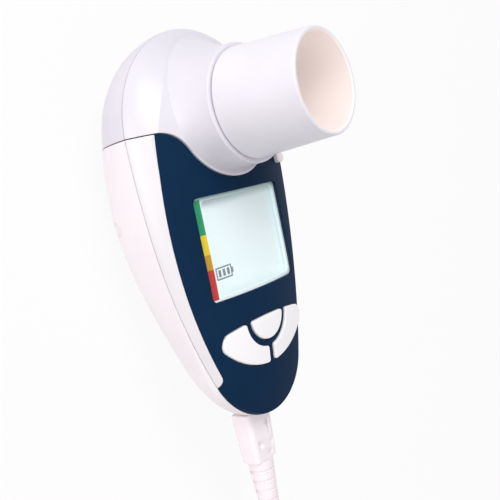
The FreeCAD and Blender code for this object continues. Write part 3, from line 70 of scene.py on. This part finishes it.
class Wire:
    # one output of a node; sums on it add Math nodes

    def __init__(self, tree, socket):
        self.tree = tree
        self.socket = socket

    def maths(self, operation, other=None, swapped=False):
        made = self.tree.nodes.new("ShaderNodeMath")
        made.operation = operation
        pair = (other, self) if swapped else (self, other)
        for slot, value in zip(made.inputs, pair):
            if isinstance(value, Wire):
                self.tree.links.new(value.socket, slot)
            elif value is not None:
                slot.default_value = value
        return Wire(self.tree, made.outputs[0])

    def __add__(self, other):
        return self.maths("ADD", other)

    def __sub__(self, other):
        return self.maths("SUBTRACT", other)

    def __rsub__(self, other):
        return self.maths("SUBTRACT", other, True)

    def __mul__(self, other):
        return self.maths("MULTIPLY", other)

    def __truediv__(self, other):
        return self.maths("DIVIDE", other)

    def __gt__(self, other):
        return self.maths("GREATER_THAN", other)

    def __lt__(self, other):
        return self.maths("LESS_THAN", other)

    __radd__ = __add__
    __rmul__ = __mul__


# the Emission sockets carry only painted glows in this script
shaderSockets = {
    "colour": "Base Color", "rough": "Roughness", "metal": "Metallic", "normal": "Normal",
    "gloss": "Specular IOR Level", "alpha": "Alpha", "glow": "Emission Color",
    "glowStrength": "Emission Strength",
}
mixSockets = {"share": 0, "first": 6, "second": 7, "result": 2}  # a Mix node's colour sockets
cloudy = {"detail": 3, "low": 0.35, "high": 0.65}  # broad soft patches
grainy = {"detail": 3, "roughness": 0.6}  # the mould's fine grain
edgeSamples = 6  # more make the softened edges less noisy, and slower


def fromScreen(red, green, blue):
    # a colour as seen on a screen, 0 to 255, turned to the shader's linear scale
    seen = (c / 255 for c in (red, green, blue))
    return tuple(c / 12.92 if c < 0.04 else ((c + 0.055) / 1.055) ** 2.4 for c in seen)


class Finish:
    # one material, with its nodes added by name; or the nodes of a tree that is there already

    def __init__(self, name, tree=None):
        self.tree = tree
        if tree is None:
            self.material = bpy.data.materials.new(name)
            self.material.use_nodes = True
            self.tree = self.material.node_tree
            self.shader = self.tree.nodes["Principled BSDF"]

    def feed(self, slot, value):
        if isinstance(value, Wire):
            self.tree.links.new(value.socket, slot)
        else:
            slot.default_value = value

    def node(self, kind, inputs, settings=None, output=0):
        made = self.tree.nodes.new("ShaderNode" + kind)
        for name, value in (settings or {}).items():
            setattr(made, name, value)
        for name, value in inputs.items():
            self.feed(made.inputs[name], value)
        return Wire(self.tree, made.outputs[output])

    def place(self):
        return self.node("TexCoord", {}, output="Object")

    def along(self, axis):
        return self.node("SeparateXYZ", {"Vector": self.place()}, output=axis)

    def radiusFrom(self, x, y):
        # distance from an upright axis
        across, along = self.along("X") - x * mm, self.along("Y") - y * mm
        return (across * across + along * along).maths("SQRT")

    def noise(self, size, detail=2.0, roughness=0.5, stretch=None):
        # size is that of one blotch, in millimetres
        where = self.place()
        if stretch:
            where = self.node("Mapping", {"Vector": where, "Scale": stretch})
        return self.node("TexNoise", {
            "Vector": where, "Scale": 1 / (size * mm), "Detail": detail, "Roughness": roughness,
        })

    def grain(self, size):
        return self.noise(size, **grainy)

    def clouds(self, size):
        # soft patches, from 0 to 1
        return self.steps(self.noise(size, cloudy["detail"]), cloudy["low"], cloudy["high"])

    def steps(self, value, low, high, first=0.0, second=1.0):
        return self.node("MapRange", {
            "Value": value, "From Min": low, "From Max": high, "To Min": first, "To Max": second,
        })

    def around(self, middle, noise, spread):
        # a level that a noise moves up and down
        return middle + (noise - 0.5) * spread

    def blend(self, share, first, second):
        first, second = (c if isinstance(c, Wire) else (*c, 1) for c in (first, second))
        values = {"share": share, "first": first, "second": second}
        inputs = {mixSockets[name]: value for name, value in values.items()}
        return self.node("Mix", inputs, {"data_type": "RGBA"}, mixSockets["result"])

    def tones(self, share, first, second):
        # a blend of two colours that are given as on a screen
        return self.blend(share, fromScreen(*first), fromScreen(*second))

    def bump(self, height, strength, depth, after=None):
        inputs = {"Height": height, "Strength": strength, "Distance": depth * mm}
        if after is not None:
            inputs["Normal"] = after
        return self.node("Bump", inputs)

    def softEdge(self, radius):
        # normals turned at edges, as if each had a small round of this many millimetres
        return self.node("Bevel", {"Radius": radius * mm}, {"samples": edgeSamples})

    def shade(self, **values):
        for name, value in values.items():
            slot = self.shader.inputs[shaderSockets[name]]
            plain = slot.type == "RGBA" and not isinstance(value, Wire)
            self.feed(slot, (*value, 1) if plain else value)
        return self.material


# Moulded plastics: two near tints in broad clouds, a gloss that drifts, and the mould's fine grain

mould = {
    "cloudSize": 38,
    "gleamSize": 9,
    "gleamDetail": 4,
    "gleamSpan": (0.3, 0.7),
    "gleamRough": (-0.04, 0.03),  # how far the gloss drifts
    "grainRough": 0.05,
    "bump": 0.35,
    "edge": 0.15,  # round that the edges seem to have
    "gloss": 0.5,
}
plastics = {
    "coverWhite": {
        "tint": (246, 243, 244), "shade": (240, 236, 238),
        "rough": 0.36, "grain": 0.32, "relief": 0.05,
    },
    "headWhite": {
        "tint": (225, 223, 231), "shade": (216, 214, 223),
        "rough": 0.34, "grain": 0.32, "relief": 0.05,
    },
    "keyWhite": {
        "tint": (253, 252, 253), "shade": (249, 248, 250),
        "rough": 0.38, "grain": 0.4, "relief": 0.04,
    },
    "buttonWhite": {
        "tint": (254, 252, 253), "shade": (250, 247, 249),
        "rough": 0.42, "grain": 0.4, "relief": 0.05,
    },
    "carrierWhite": {
        "tint": (215, 215, 212), "shade": (205, 205, 203),
        "rough": 0.5, "grain": 0.6, "relief": 0.1,
    },
    "turbineWhite": {
        "tint": (236, 228, 222), "shade": (227, 218, 212),
        "rough": 0.4, "grain": 0.5, "relief": 0.05,
    },
    "rotorWhite": {
        "tint": (226, 226, 222), "shade": (216, 216, 212),
        "rough": 0.42, "grain": 0.4, "relief": 0.05,
    },
    "panelNavy": {
        "tint": (18, 45, 73), "shade": (15, 41, 68),
        "rough": 0.36, "grain": 0.25, "relief": 0.03, "gloss": 0.02,
    },
    "plugWhite": {
        "tint": (253, 246, 249), "shade": (246, 238, 242),
        "rough": 0.46, "grain": 0.5, "relief": 0.1,
    },
    "chipBlack": {
        "tint": (34, 34, 36), "shade": (26, 26, 27),
        "rough": 0.55, "grain": 0.3, "relief": 0.1,
    },
    "sealGrey": {
        "tint": (150, 150, 154), "shade": (136, 136, 141),
        "rough": 0.7, "grain": 0.5, "relief": 0.1,
    },
    "inkGrey": {
        "tint": (128, 140, 146), "shade": (118, 130, 137),
        "rough": 0.6, "grain": 0.2, "relief": 0.01, "edge": 0.02,
    },
    "tieBlack": {
        "tint": (40, 40, 43), "shade": (28, 28, 31),
        "rough": 0.85, "grain": 0.5, "relief": 0.4,
    },
    "jewelRed": {
        "tint": (150, 30, 50), "shade": (120, 20, 40),
        "rough": 0.12, "grain": 0.6, "relief": 0.02,
    },
    "clearPlastic": {
        "tint": (205, 210, 214), "shade": (192, 198, 204),
        "rough": 0.14, "grain": 0.8, "relief": 0.02,
    },
}


def moulded(values, made, repaint=None):
    grain = made.grain(values["grain"])
    colour = made.tones(made.clouds(mould["cloudSize"]), values["tint"], values["shade"])
    if repaint:
        colour = repaint(colour)
    least, most = (values["rough"] + change for change in mould["gleamRough"])
    gleam = made.noise(mould["gleamSize"], mould["gleamDetail"])
    rough = made.steps(gleam, *mould["gleamSpan"], least, most)
    edge = made.softEdge(values.get("edge", mould["edge"]))
    return made.shade(
        colour=colour, rough=made.around(rough, grain, mould["grainRough"]),
        normal=made.bump(grain, mould["bump"], values["relief"], edge),
        gloss=values.get("gloss", mould["gloss"]),
    )


# Metals, with fine lines from drawing or rolling along the stretch of 1

brushing = {
    "lines": {"size": 0.6, "detail": 4, "roughness": 0.6},
    "lineRough": 0.12,
    "cloudSize": 5,
    "bump": 0.2,
    "relief": 0.03,
}
metals = {
    "steel": {
        "tint": (188, 189, 192), "shade": (174, 175, 178), "rough": 0.28, "stretch": (1, 14, 14),
    },
    "brassPlate": {
        "tint": (205, 175, 110), "shade": (180, 148, 88), "rough": 0.3, "stretch": (14, 14, 1),
    },
}


def metal(values, made):
    lines = made.noise(stretch=values["stretch"], **brushing["lines"])
    colour = made.tones(made.clouds(brushing["cloudSize"]), values["tint"], values["shade"])
    return made.shade(
        colour=colour, metal=1.0, rough=made.around(values["rough"], lines, brushing["lineRough"]),
        normal=made.bump(lines, brushing["bump"], brushing["relief"]),
    )


# Mouthpiece tube: cool outside, warm inside; the warm inside is painted warm light and a painted
# glow, standing in for light that comes through its thin wall

tube = {
    "axis": (0, 31.43),
    "wall": (12.45, 12.75),  # radii between which inside turns to outside
    "outside": ((233, 232, 238), (227, 226, 232)),
    # painted warm light: the inside tones are warmer, for light through the thin wall
    "inside": ((240, 231, 227), (234, 224, 220)),
    # painted glow on the inside only, though the tube is no lamp
    "glow": (255, 239, 234),
    "glowStrength": 0.19,
    "cloudSize": 24,
    "grain": 0.5,
    "rough": 0.36,
    "cloudRough": 0.06,
    "grainRough": 0.05,
    "bump": 0.3,
    "relief": 0.05,
    "edge": 0.3,
}


def tubeSkin():
    made = Finish("tubeSkin")
    outer = made.steps(made.radiusFrom(*tube["axis"]), *(r * mm for r in tube["wall"]))
    clouds = made.clouds(tube["cloudSize"])
    grain = made.grain(tube["grain"])
    inside, outside = (made.tones(clouds, *tube[side]) for side in ("inside", "outside"))
    # the inside gets painted warm light in its colour and a painted glow
    return made.shade(
        colour=made.blend(outer, inside, outside),
        rough=made.around(tube["rough"] + clouds * tube["cloudRough"], grain, tube["grainRough"]),
        normal=made.bump(grain, tube["bump"], tube["relief"], made.softEdge(tube["edge"])),
        glow=made.tones(outer, tube["glow"], (0, 0, 0)), glowStrength=tube["glowStrength"],
    )


# Zone strip beside the display: four printed colours, split at their own heights

zones = {
    "splits": (-10.15, -6.05, -0.65),
    "colours": ((200, 40, 30), (202, 152, 0), (232, 210, 0), (0, 150, 98)),  # from the nose up
    "softness": 0.12,
    "speckle": 0.5,
    "speckleSpan": (0.3, 0.7),
    "speckleTone": (0.8, 0.8, 0.75),
    "speckleShare": 0.03,
    "rough": 0.42,
    "roughSpread": 0.1,
    "bump": 0.2,
    "relief": 0.02,
    "gloss": 0.1,
}


def zonePrint():
    made = Finish("zonePrint")
    y = made.along("Y")
    soft = zones["softness"] * mm
    colour = fromScreen(*zones["colours"][0])
    for split, above in zip(zones["splits"], zones["colours"][1:]):
        share = made.steps(y, split * mm - soft, split * mm + soft)
        colour = made.blend(share, colour, fromScreen(*above))
    speckle = made.noise(zones["speckle"])
    faded = made.steps(speckle, *zones["speckleSpan"], 0.0, zones["speckleShare"])
    return made.shade(
        colour=made.blend(faded, colour, zones["speckleTone"]),
        rough=made.around(zones["rough"], speckle, zones["roughSpread"]),
        normal=made.bump(speckle, zones["bump"], zones["relief"]), gloss=zones["gloss"],
    )


# Display: mint, a little greyer towards its edges, with a painted shadow of the panel along the top
# and a painted glow

screenTone = {
    "ground": (222, 235, 236),
    "edge": (215, 230, 232),
    "shadow": (132, 156, 160),
    "shadowSpan": (6.0, 9.2),  # heights where the shadow starts and is full
    "shadowFall": 1.5,
    "middleY": -4.8,
    "halfWide": 20,
    "halfHigh": 15,
    "edgeFall": 4.0,
    "edgeShare": 0.15,
    "grain": 0.35,
    "grainShare": 0.2,
    "rough": 0.35,
    "grainRough": 0.1,
    "bump": 0.15,
    "relief": 0.01,
    # strength of the display's painted glow, which lifts it above the light that falls on it
    "glow": 0.26,
    "gloss": 0.2,
}


def screenColour(made):
    x, y = made.along("X"), made.along("Y")
    across = x / (screenTone["halfWide"] * mm)
    along = (y - screenTone["middleY"] * mm) / (screenTone["halfHigh"] * mm)
    across, along = (way.maths("POWER", screenTone["edgeFall"]) for way in (across, along))
    grain = made.noise(screenTone["grain"])
    share = (across + along) * screenTone["edgeShare"] + grain * screenTone["grainShare"]
    colour = made.tones(share.maths("MINIMUM", 1.0), screenTone["ground"], screenTone["edge"])
    shadow = made.steps(y, *(end * mm for end in screenTone["shadowSpan"]))
    shadow = shadow.maths("POWER", screenTone["shadowFall"])
    return made.blend(shadow, colour, fromScreen(*screenTone["shadow"])), grain


def displayGround():
    made = Finish("displayGround")
    colour, grain = screenColour(made)
    return made.shade(
        colour=colour, rough=made.around(screenTone["rough"], grain, screenTone["grainRough"]),
        normal=made.bump(grain, screenTone["bump"], screenTone["relief"]),
        # the colour, with its painted shadow, also feeds the painted glow
        glow=colour, glowStrength=screenTone["glow"], gloss=screenTone["gloss"],
    )


# Front cover: white, but toned like the display where its ledge shows round the glass, with the
# display's painted shadow along the top and its painted glow

frontCover = {
    "tint": (231, 229, 231),
    "shade": (225, 222, 225),
    "rough": 0.36,
    "grain": 0.32,
    "relief": 0.05,
    "ledgeX": 18.5,  # to each side of the middle
    "ledgeY": (-19.1, 9.4),
    "ledgeLow": 30,
}


def frontWhite():
    made = Finish("frontWhite")
    x, y, z = (made.along(axis) for axis in "XYZ")
    low, high = (end * mm for end in frontCover["ledgeY"])
    inside = x.maths("ABSOLUTE") < frontCover["ledgeX"] * mm
    for beyond in (y > low, y < high, z > frontCover["ledgeLow"] * mm):
        inside = inside * beyond
    # the display's tone with its painted shadow
    screenAndShadow = screenColour(made)[0]
    moulded(frontCover, made, lambda plain: made.blend(inside, plain, screenAndShadow))
    # painted glow on the ledge, as on the display
    return made.shade(glow=made.blend(inside, (0, 0, 0), screenAndShadow), glowStrength=screenTone["glow"])


# Window over the display: all but unseen, with faint smears in its gloss

windowPane = {
    "tint": (226, 230, 228),
    "shade": (214, 219, 218),
    "smear": 7,
    "smearDetail": 4,
    "smearTint": (0.3, 0.7),
    "smearRough": (0.4, 0.8, 0.07, 0.17),  # smears from and to, roughness from and to
    "alpha": 0.02,
    "bump": 0.05,
    "relief": 0.02,
    "gloss": 0.25,
}


def windowClear():
    made = Finish("windowClear")
    smears = made.noise(windowPane["smear"], windowPane["smearDetail"])
    share = made.steps(smears, *windowPane["smearTint"])
    return made.shade(
        colour=made.tones(share, windowPane["tint"], windowPane["shade"]),
        rough=made.steps(smears, *windowPane["smearRough"]),
        normal=made.bump(smears, windowPane["bump"], windowPane["relief"]),
        alpha=windowPane["alpha"], gloss=windowPane["gloss"],
    )


# Circuit board: green lacquer over a grid of tracks

board = {
    "ground": (18, 92, 52),
    "track": (30, 116, 66),
    "tracksPerMetre": 420.0,
    "trackWidth": 0.06,
    "grain": 0.5,
    "rough": 0.3,
    "grainRough": 0.15,
    "bump": 0.4,
    "relief": 0.03,
}


def boardGreen():
    made = Finish("boardGreen")
    grid = {"Scale": board["tracksPerMetre"], "Mortar Size": board["trackWidth"]}
    tracks = made.node("TexBrick", {"Vector": made.place(), **grid}, output="Fac")
    return made.shade(
        colour=made.tones(tracks, board["ground"], board["track"]),
        rough=board["rough"] + made.noise(board["grain"]) * board["grainRough"],
        normal=made.bump(tracks, board["bump"], board["relief"]),
    )


# Cells: a dark sleeve with a copper end

sleeve = {
    "dark": (58, 64, 74),
    "copper": (176, 128, 66),
    "splitSpan": (-3, -2.6),
    "metal": 0.6,
    "grain": 0.4,
    "rough": 0.3,
    "grainRough": 0.1,
    "bump": 0.1,
    "relief": 0.02,
}


def cellSleeve():
    made = Finish("cellSleeve")
    split = made.steps(made.along("Y"), *(end * mm for end in sleeve["splitSpan"]))
    grain = made.noise(sleeve["grain"])
    return made.shade(
        colour=made.tones(split, sleeve["dark"], sleeve["copper"]), metal=sleeve["metal"],
        rough=made.around(sleeve["rough"], grain, sleeve["grainRough"]),
        normal=made.bump(grain, sleeve["bump"], sleeve["relief"]),
    )


# Cord sheath: soft clouds and a fine matt grain

sheath = {
    "tint": (244, 237, 240),
    "shade": (235, 227, 231),
    "cloudSize": 14,
    "grain": 0.6,
    "rough": 0.42,
    "grainRough": 0.12,
    "bump": 0.25,
    "relief": 0.05,
}


def cordSheath():
    made = Finish("cordSheath")
    grain = made.grain(sheath["grain"])
    return made.shade(
        colour=made.tones(made.clouds(sheath["cloudSize"]), sheath["tint"], sheath["shade"]),
        rough=made.around(sheath["rough"], grain, sheath["grainRough"]),
        normal=made.bump(grain, sheath["bump"], sheath["relief"]),
    )


# Which finish each piece of the frame gets

finishes = {name: moulded(values, Finish(name)) for name, values in plastics.items()}
finishes.update({name: metal(values, Finish(name)) for name, values in metals.items()})
singles = [
    tubeSkin(), zonePrint(), displayGround(), frontWhite(), windowClear(), boardGreen(),
    cellSleeve(), cordSheath(),
]
finishes.update({material.name: material for material in singles})

nodeFinishes = {
    "coverWhite": ["rear_cover", "battery_door"],
    "frontWhite": ["front_cover"],
    "headWhite": ["head_front", "head_rear"],
    "panelNavy": ["front_panel"],
    "windowClear": ["display_window"],
    "zonePrint": ["zone_strip"],
    "displayGround": ["display_glass"],
    "carrierWhite": ["display_carrier"],
    "keyWhite": ["key_left", "key_centre", "key_right"],
    "buttonWhite": ["side_button"],
    "tubeSkin": ["mouthpiece_tube"],
    "turbineWhite": ["turbine_tube"],
    "rotorWhite": ["swirl_stator", "rear_spider", "rotor_vane"],
    "jewelRed": ["front_bearing", "rear_bearing"],
    "steel": [
        "switch_domes", "data_socket", "case_screws", "head_screws", "rotor_spindle", "plug_shell",
        "far_plug_shell",
    ],
    "brassPlate": ["cell_contacts"],
    "cellSleeve": ["battery_cells"],
    "boardGreen": ["main_board"],
    "chipBlack": ["board_chips", "beeper", "sensor_detector"],
    "clearPlastic": ["sensor_emitter"],
    "sealGrey": ["display_connector", "neck_seal"],
    "plugWhite": ["plug_housing", "strain_relief", "far_plug_housing", "far_plug_tongue"],
    "tieBlack": ["lead_tie"],
    "cordSheath": ["lead_cord", "lead_tail", "lead_coil"],
}
for finish, nodes in nodeFinishes.items():
    for node in nodes:
        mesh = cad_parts[node].data
        mesh.materials.clear()
        mesh.materials.append(finishes[finish])
print("finishes on", sum(len(nodes) for nodes in nodeFinishes.values()), "frame pieces")


# Data lead: route to the floor, tied coil of four layers, tail to the far plug

lead = {
    "radius": 1.9,
    "route": [
        (0, -93.9, 24.95), (0.6, -104, 24.2), (3.4, -115.3, 19.8), (8.5, -126, 11),
        (14.5, -137, 4.2), (20.2, -148.5, 1.95), (24.8, -160.5, 1.96),
    ],
    "tail": [
        (26.9, -180.7, 13.5), (24.9, -192.3, 12.7), (22, -203.8, 9.4), (19.6, -215, 5.8),
        (18.6, -226, 4.2),
    ],
    "coilCentre": (0, -176),
    "coilOuter": 27.6,
    "coilInner": 17.9,
    "startAngle": 6.3,
    "turns": 10.045,
    "layers": 4,
    "layerRise": 3.85,
    "turnPoints": 16,
    "climb": 0.2,  # share of a turn
    "floorGap": 0.05,
    "length": 1.6,  # metres
    "roundness": 4,
    "smoothness": 5,
}


def coilPoints():
    # each layer is a flat spiral, wound in and out by turns, with a short climb between
    points = []
    perLayer = lead["turns"] / lead["layers"]
    count = round(lead["turns"] * lead["turnPoints"])
    # the spline runs inside its points, so they stand a little further out
    outside = 2 / (1 + math.cos(2 * math.pi / lead["turnPoints"]))
    for step in range(count + 1):
        turn = lead["turns"] * step / count
        layer = min(int(turn / perLayer), lead["layers"] - 1)
        share = turn / perLayer - layer
        inward = share if layer % 2 == 0 else 1 - share
        radius = outside * (lead["coilOuter"] + (lead["coilInner"] - lead["coilOuter"]) * inward)
        height = lead["radius"] + lead["floorGap"]
        for edge in range(1, lead["layers"]):
            climbed = (turn - edge * perLayer) / lead["climb"] + 0.5
            height += lead["layerRise"] * min(max(climbed, 0), 1)
        angle = math.radians(lead["startAngle"]) - 2 * math.pi * turn
        x, y = lead["coilCentre"]
        points.append((x + radius * math.cos(angle), y + radius * math.sin(angle), height))
    return points


def makeLead():
    curve = bpy.data.curves.new("dataLead", "CURVE")
    curve.dimensions = "3D"
    curve.bevel_depth = lead["radius"] * mm
    curve.bevel_resolution = lead["roundness"]
    curve.use_fill_caps = True
    curve.resolution_u = lead["smoothness"]
    points = lead["route"] + coilPoints() + lead["tail"]
    spline = curve.splines.new("NURBS")
    spline.points.add(len(points) - 1)
    for point, place in zip(spline.points, points):
        point.co = (*(Vector(place) * mm), 1)
    spline.order_u = 3
    spline.use_endpoint_u = True
    curve.materials.append(finishes["cordSheath"])
    cord = bpy.data.objects.new("dataLead", curve)
    scene.collection.objects.link(cord)
    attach(cord, "lead")
    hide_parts("lead_cord", "lead_coil", "lead_tail")
    print("lead laid with", len(points), "points")


makeLead()


# Modelling helpers, for the pieces made here over the frame's plainer ones

hair = 1e-7  # metres of slack when places are compared
weldGap = 1e-6  # metres between corners that count as one
smoothBelow = 28  # degrees; sharper edges stay sharp


def edit(operator, **choice):
    # one edit-mode operator on what is selected
    bpy.ops.object.mode_set(mode="EDIT")
    operator(**choice)
    bpy.ops.object.mode_set(mode="OBJECT")


def pick(piece, kind, test):
    # selects the faces or vertices that pass the test, and nothing else
    bpy.ops.object.mode_set(mode="EDIT")
    bpy.ops.mesh.select_mode(type="FACE" if kind == "polygons" else "VERT")
    bpy.ops.mesh.select_all(action="DESELECT")
    bpy.ops.object.mode_set(mode="OBJECT")
    for part in getattr(piece.data, kind):
        part.select = test(part)


def facing(way, least=0.9):
    # a test for faces that look up, or down with -1
    return lambda face: face.normal.z * way > least


def drawOut(height):
    # pulls the picked faces up, with walls behind them
    edit(bpy.ops.mesh.extrude_region_move, TRANSFORM_OT_translate={"value": (0, 0, height * mm)})


def narrow(share):
    edit(bpy.ops.transform.resize, value=(share, share, 1))


def shift(x, y, z):
    edit(bpy.ops.transform.translate, value=(x * mm, y * mm, z * mm))


def alone(piece, *others):
    bpy.ops.object.select_all(action="DESELECT")
    for each in (piece, *others):
        each.select_set(True)
    bpy.context.view_layer.objects.active = piece


def mergedCopy(node, name):
    # the frame's own shape with its corners joined, free to be worked on
    piece = bpy.data.objects.new(name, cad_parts[node].data.copy())
    scene.collection.objects.link(piece)
    alone(piece)
    edit(bpy.ops.mesh.select_all, action="SELECT")
    edit(bpy.ops.mesh.remove_doubles, threshold=weldGap)
    return piece


def primitive(kind, name, place, **sizes):
    bpy.ops.object.select_all(action="DESELECT")
    getattr(bpy.ops.mesh, "primitive_%s_add" % kind)(location=Vector(place) * mm, **sizes)
    piece = bpy.context.object
    piece.name = name
    bpy.ops.object.transform_apply(location=True, rotation=True, scale=True)
    return piece


def block(name, place, *sides):
    return primitive("cube", name, place, size=1, scale=[side * mm for side in sides])


def carve(piece, cutter):
    # takes the cutter's shape out of the piece
    alone(piece)
    cut = piece.modifiers.new("cut", "BOOLEAN")
    cut.operation = "DIFFERENCE"
    cut.solver = "EXACT"
    cut.object = cutter
    bpy.ops.object.modifier_apply(modifier="cut")
    bpy.data.objects.remove(cutter)


def settle(piece, body, slot, finish, *nodes):
    alone(piece)
    piece.data.materials.clear()
    piece.data.materials.append(finishes[finish])
    bpy.ops.object.shade_smooth_by_angle(angle=math.radians(smoothBelow))
    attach(piece, body)
    if nodes:
        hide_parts(*nodes)


# Display pane, lifted a hair off the ledge that it lies on

pane = {"lift": 0.07, "underside": 0.5}


def makePane():
    piece = mergedCopy("display_window", "displayPane")
    pick(piece, "polygons", facing(-1, pane["underside"]))
    shift(0, 0, pane["lift"])
    settle(piece, "handset", "window_clear", "windowClear", "display_window")


# Plug grip: two thumb dimples, a fainter one, and a short groove

grip = {
    "top": 28.64,
    "startY": -56.5,
    "fall": 0.0195,  # slope of the top, away from the meter
    "dimples": (  # x, y, radius, depth
        (-2.16, -66.8, 1.2, 0.4), (3.2, -67.3, 1.2, 0.4), (1.9, -70.0, 0.9, 0.2),
    ),
    "dimpleMesh": {"segments": 32, "ring_count": 16},
    "groove": (2.45, -62.0, 0.45, 4.4, 0.35),  # x, y, width, length, depth
    "grooveCorners": 24,
}


def makeGrip():
    piece = mergedCopy("plug_housing", "plugGrip")

    def top(y):
        return grip["top"] - grip["fall"] * (grip["startY"] - y)

    for x, y, radius, depth in grip["dimples"]:
        place = (x, y, top(y) + radius - depth)
        mesh = grip["dimpleMesh"]
        carve(piece, primitive("uv_sphere", "dimpleTool", place, radius=radius * mm, **mesh))
    x, y, wide, long, depth = grip["groove"]
    sizes = {"radius": wide / 2 * mm, "depth": 2 * depth * mm, "vertices": grip["grooveCorners"]}
    tool = primitive("cylinder", "grooveTool", (x, y, top(y)), **sizes)
    for end in (1, -1):
        pick(tool, "vertices", lambda v: (v.co.y - y * mm) * end > -hair)
        shift(0, end * (long - wide) / 2, 0)
    carve(piece, tool)
    settle(piece, "lead", "plug_warm", "plugWhite", "plug_housing")


# Screws from the back, each with a cross recess in its low head

screw = {
    "headRadius": 2.1,
    "headDepth": 1.6,
    "corners": 36,
    "rim": 0.35,
    "rimSteps": 3,
    "shankRadius": 1.0,
    "tip": 0.6,
    "tipShare": 0.35,  # of the shank's width
    "recess": (2.3, 0.55, 0.8),  # length, width, depth
    "recessShare": 0.7,  # of its width, at the bottom
    "sets": {
        "caseScrews": {
            "node": "case_screws", "body": "handset", "top": 33.4,
            "places": ((-23.2, 5, 21.5), (23.2, 5, 21.5), (-12.5, -42.5, 23), (12.5, -42.5, 23)),
        },
        "headScrews": {
            "node": "head_screws", "body": "head", "top": 32.66,
            "places": ((-18.5, 41, 20.5), (18.5, 41, 20.5)),
        },
    },
}


def makeScrew(name, x, y, seat, top):
    head = screw["headRadius"] * mm
    low = seat - screw["headDepth"]
    sizes = {"radius": head, "depth": screw["headDepth"] * mm, "vertices": screw["corners"]}
    piece = primitive("cylinder", name, (x, y, (seat + low) / 2), **sizes)
    pick(piece, "polygons", facing(-1))
    edit(bpy.ops.mesh.bevel, offset=screw["rim"] * mm, segments=screw["rimSteps"], affect="EDGES")
    pick(piece, "polygons", facing(1))
    edit(bpy.ops.mesh.inset, thickness=head - screw["shankRadius"] * mm)
    drawOut(top - seat - screw["tip"])
    drawOut(screw["tip"])
    narrow(screw["tipShare"])
    long, wide, deep = screw["recess"]
    for across, along in ((long, wide), (wide, long)):
        tool = block("recessTool", (x, y, low), across, along, 2 * deep)
        pick(tool, "polygons", facing(1))
        narrow(screw["recessShare"])
        carve(piece, tool)
    return piece


def makeScrews():
    for name, values in screw["sets"].items():
        alone(*(makeScrew(name, *place, values["top"]) for place in values["places"]))
        bpy.ops.object.join()
        settle(bpy.context.object, values["body"], "steel", "steel", values["node"])


# Battery symbol on the display: an open case with its nipple and three bars

icon = {
    "place": (-9.4, -12.2),
    "size": (6.6, 3.5),
    "line": 0.4,
    "low": 34.91,  # just above the display glass
    "thick": 0.04,
    "bars": (-1.8, 0, 1.8),
    "bar": (1.0, 1.9),
    "nipple": (0.6, 1.5),
}


def makeIcon():
    x, y = icon["place"]
    wide, high = icon["size"]
    thick = icon["thick"]
    z = icon["low"] + thick / 2
    case = block("batterySymbol", (x, y, z), wide, high, thick)
    pick(case, "polygons", lambda face: abs(face.normal.z) > 0.9)
    edit(bpy.ops.mesh.inset, thickness=icon["line"] * mm)
    edit(bpy.ops.mesh.bridge_edge_loops)
    bars = [block("bar", (x + aside, y, z), *icon["bar"], thick) for aside in icon["bars"]]
    nipple = block("nipple", (x + (wide + icon["nipple"][0]) / 2, y, z), *icon["nipple"], thick)
    alone(case, *bars, nipple)
    bpy.ops.object.join()
    edit(bpy.ops.mesh.select_all, action="SELECT")
    edit(bpy.ops.mesh.normals_make_consistent, inside=False)
    settle(case, "handset", "chip_black", "inkGrey")


makePane()
makeGrip()
makeScrews()
makeIcon()
print("pane, grip, screws and symbol modelled")


# Floor, lamps and sky

studio = {
    "floorSize": 6,
    "floorDrop": 0.05,
    "floorTone": (0.89, 0.85, 0.87),
    "floorRough": 0.9,
    "floorGloss": 0.1,
    "floorWhite": 0.9,  # the rest of what the camera sees keeps the shadows
    "sky": 0.6,
    "skyTint": (1.0, 0.965, 0.985),
    "aim": (0, 0, 30),
    "lamps": {
        "keyLamp": {
            "place": (-180, 340, 500), "size": 320, "power": 1.65, "tint": (0.985, 0.99, 1.0),
        },
        "sideLamp": {
            "place": (-470, 20, 150), "size": 300, "power": 0.62, "tint": (1.0, 0.985, 0.985),
        },
    },
}


def whiteToCamera(finish, plain, whiteKind, output, most=1.0):
    # the surface looks plain white to the camera, in gloss and through glass, and lights as it did
    rays = finish.tree.nodes.new("ShaderNodeLightPath")
    share = Wire(finish.tree, rays.outputs["Is Camera Ray"])
    for name in ("Is Glossy Ray", "Is Transmission Ray"):
        share = share.maths("MAXIMUM", Wire(finish.tree, rays.outputs[name]))
    white = finish.node(whiteKind, {"Color": (1, 1, 1, 1), "Strength": 1.0})
    mixed = finish.node("MixShader", {0: share * most, 1: plain, 2: white})
    finish.feed(finish.tree.nodes[output].inputs["Surface"], mixed)


def layFloor():
    bpy.ops.object.select_all(action="DESELECT")
    place = (0, 0, -studio["floorDrop"] * mm)
    bpy.ops.mesh.primitive_plane_add(size=studio["floorSize"], location=place)
    floor = bpy.context.object
    floor.name = "studioFloor"
    finish = Finish("floorWhite")
    finish.shade(colour=studio["floorTone"], rough=studio["floorRough"], gloss=studio["floorGloss"])
    shader = Wire(finish.tree, finish.shader.outputs["BSDF"])
    whiteToCamera(finish, shader, "Emission", "Material Output", studio["floorWhite"])
    floor.data.materials.append(finish.material)


def hangLamps():
    for name, values in studio["lamps"].items():
        data = bpy.data.lights.new(name, "AREA")
        data.shape = "DISK"
        data.size = values["size"] * mm
        data.energy = values["power"]
        data.color = values["tint"]
        lamp = bpy.data.objects.new(name, data)
        lamp.location = Vector(values["place"]) * mm
        towards = Vector(studio["aim"]) * mm - lamp.location
        lamp.rotation_euler = towards.to_track_quat("-Z", "Y").to_euler()
        scene.collection.objects.link(lamp)


def paintSky():
    world = bpy.data.worlds.new("studioSky")
    scene.world = world
    world.use_nodes = True
    sky = Finish("studioSky", world.node_tree)
    dim = sky.node("Background", {"Color": (*studio["skyTint"], 1), "Strength": studio["sky"]})
    whiteToCamera(sky, dim, "Background", "World Output")


layFloor()
hangLamps()
paintSky()
scene.view_settings.view_transform = "Standard"
print("studio lit")
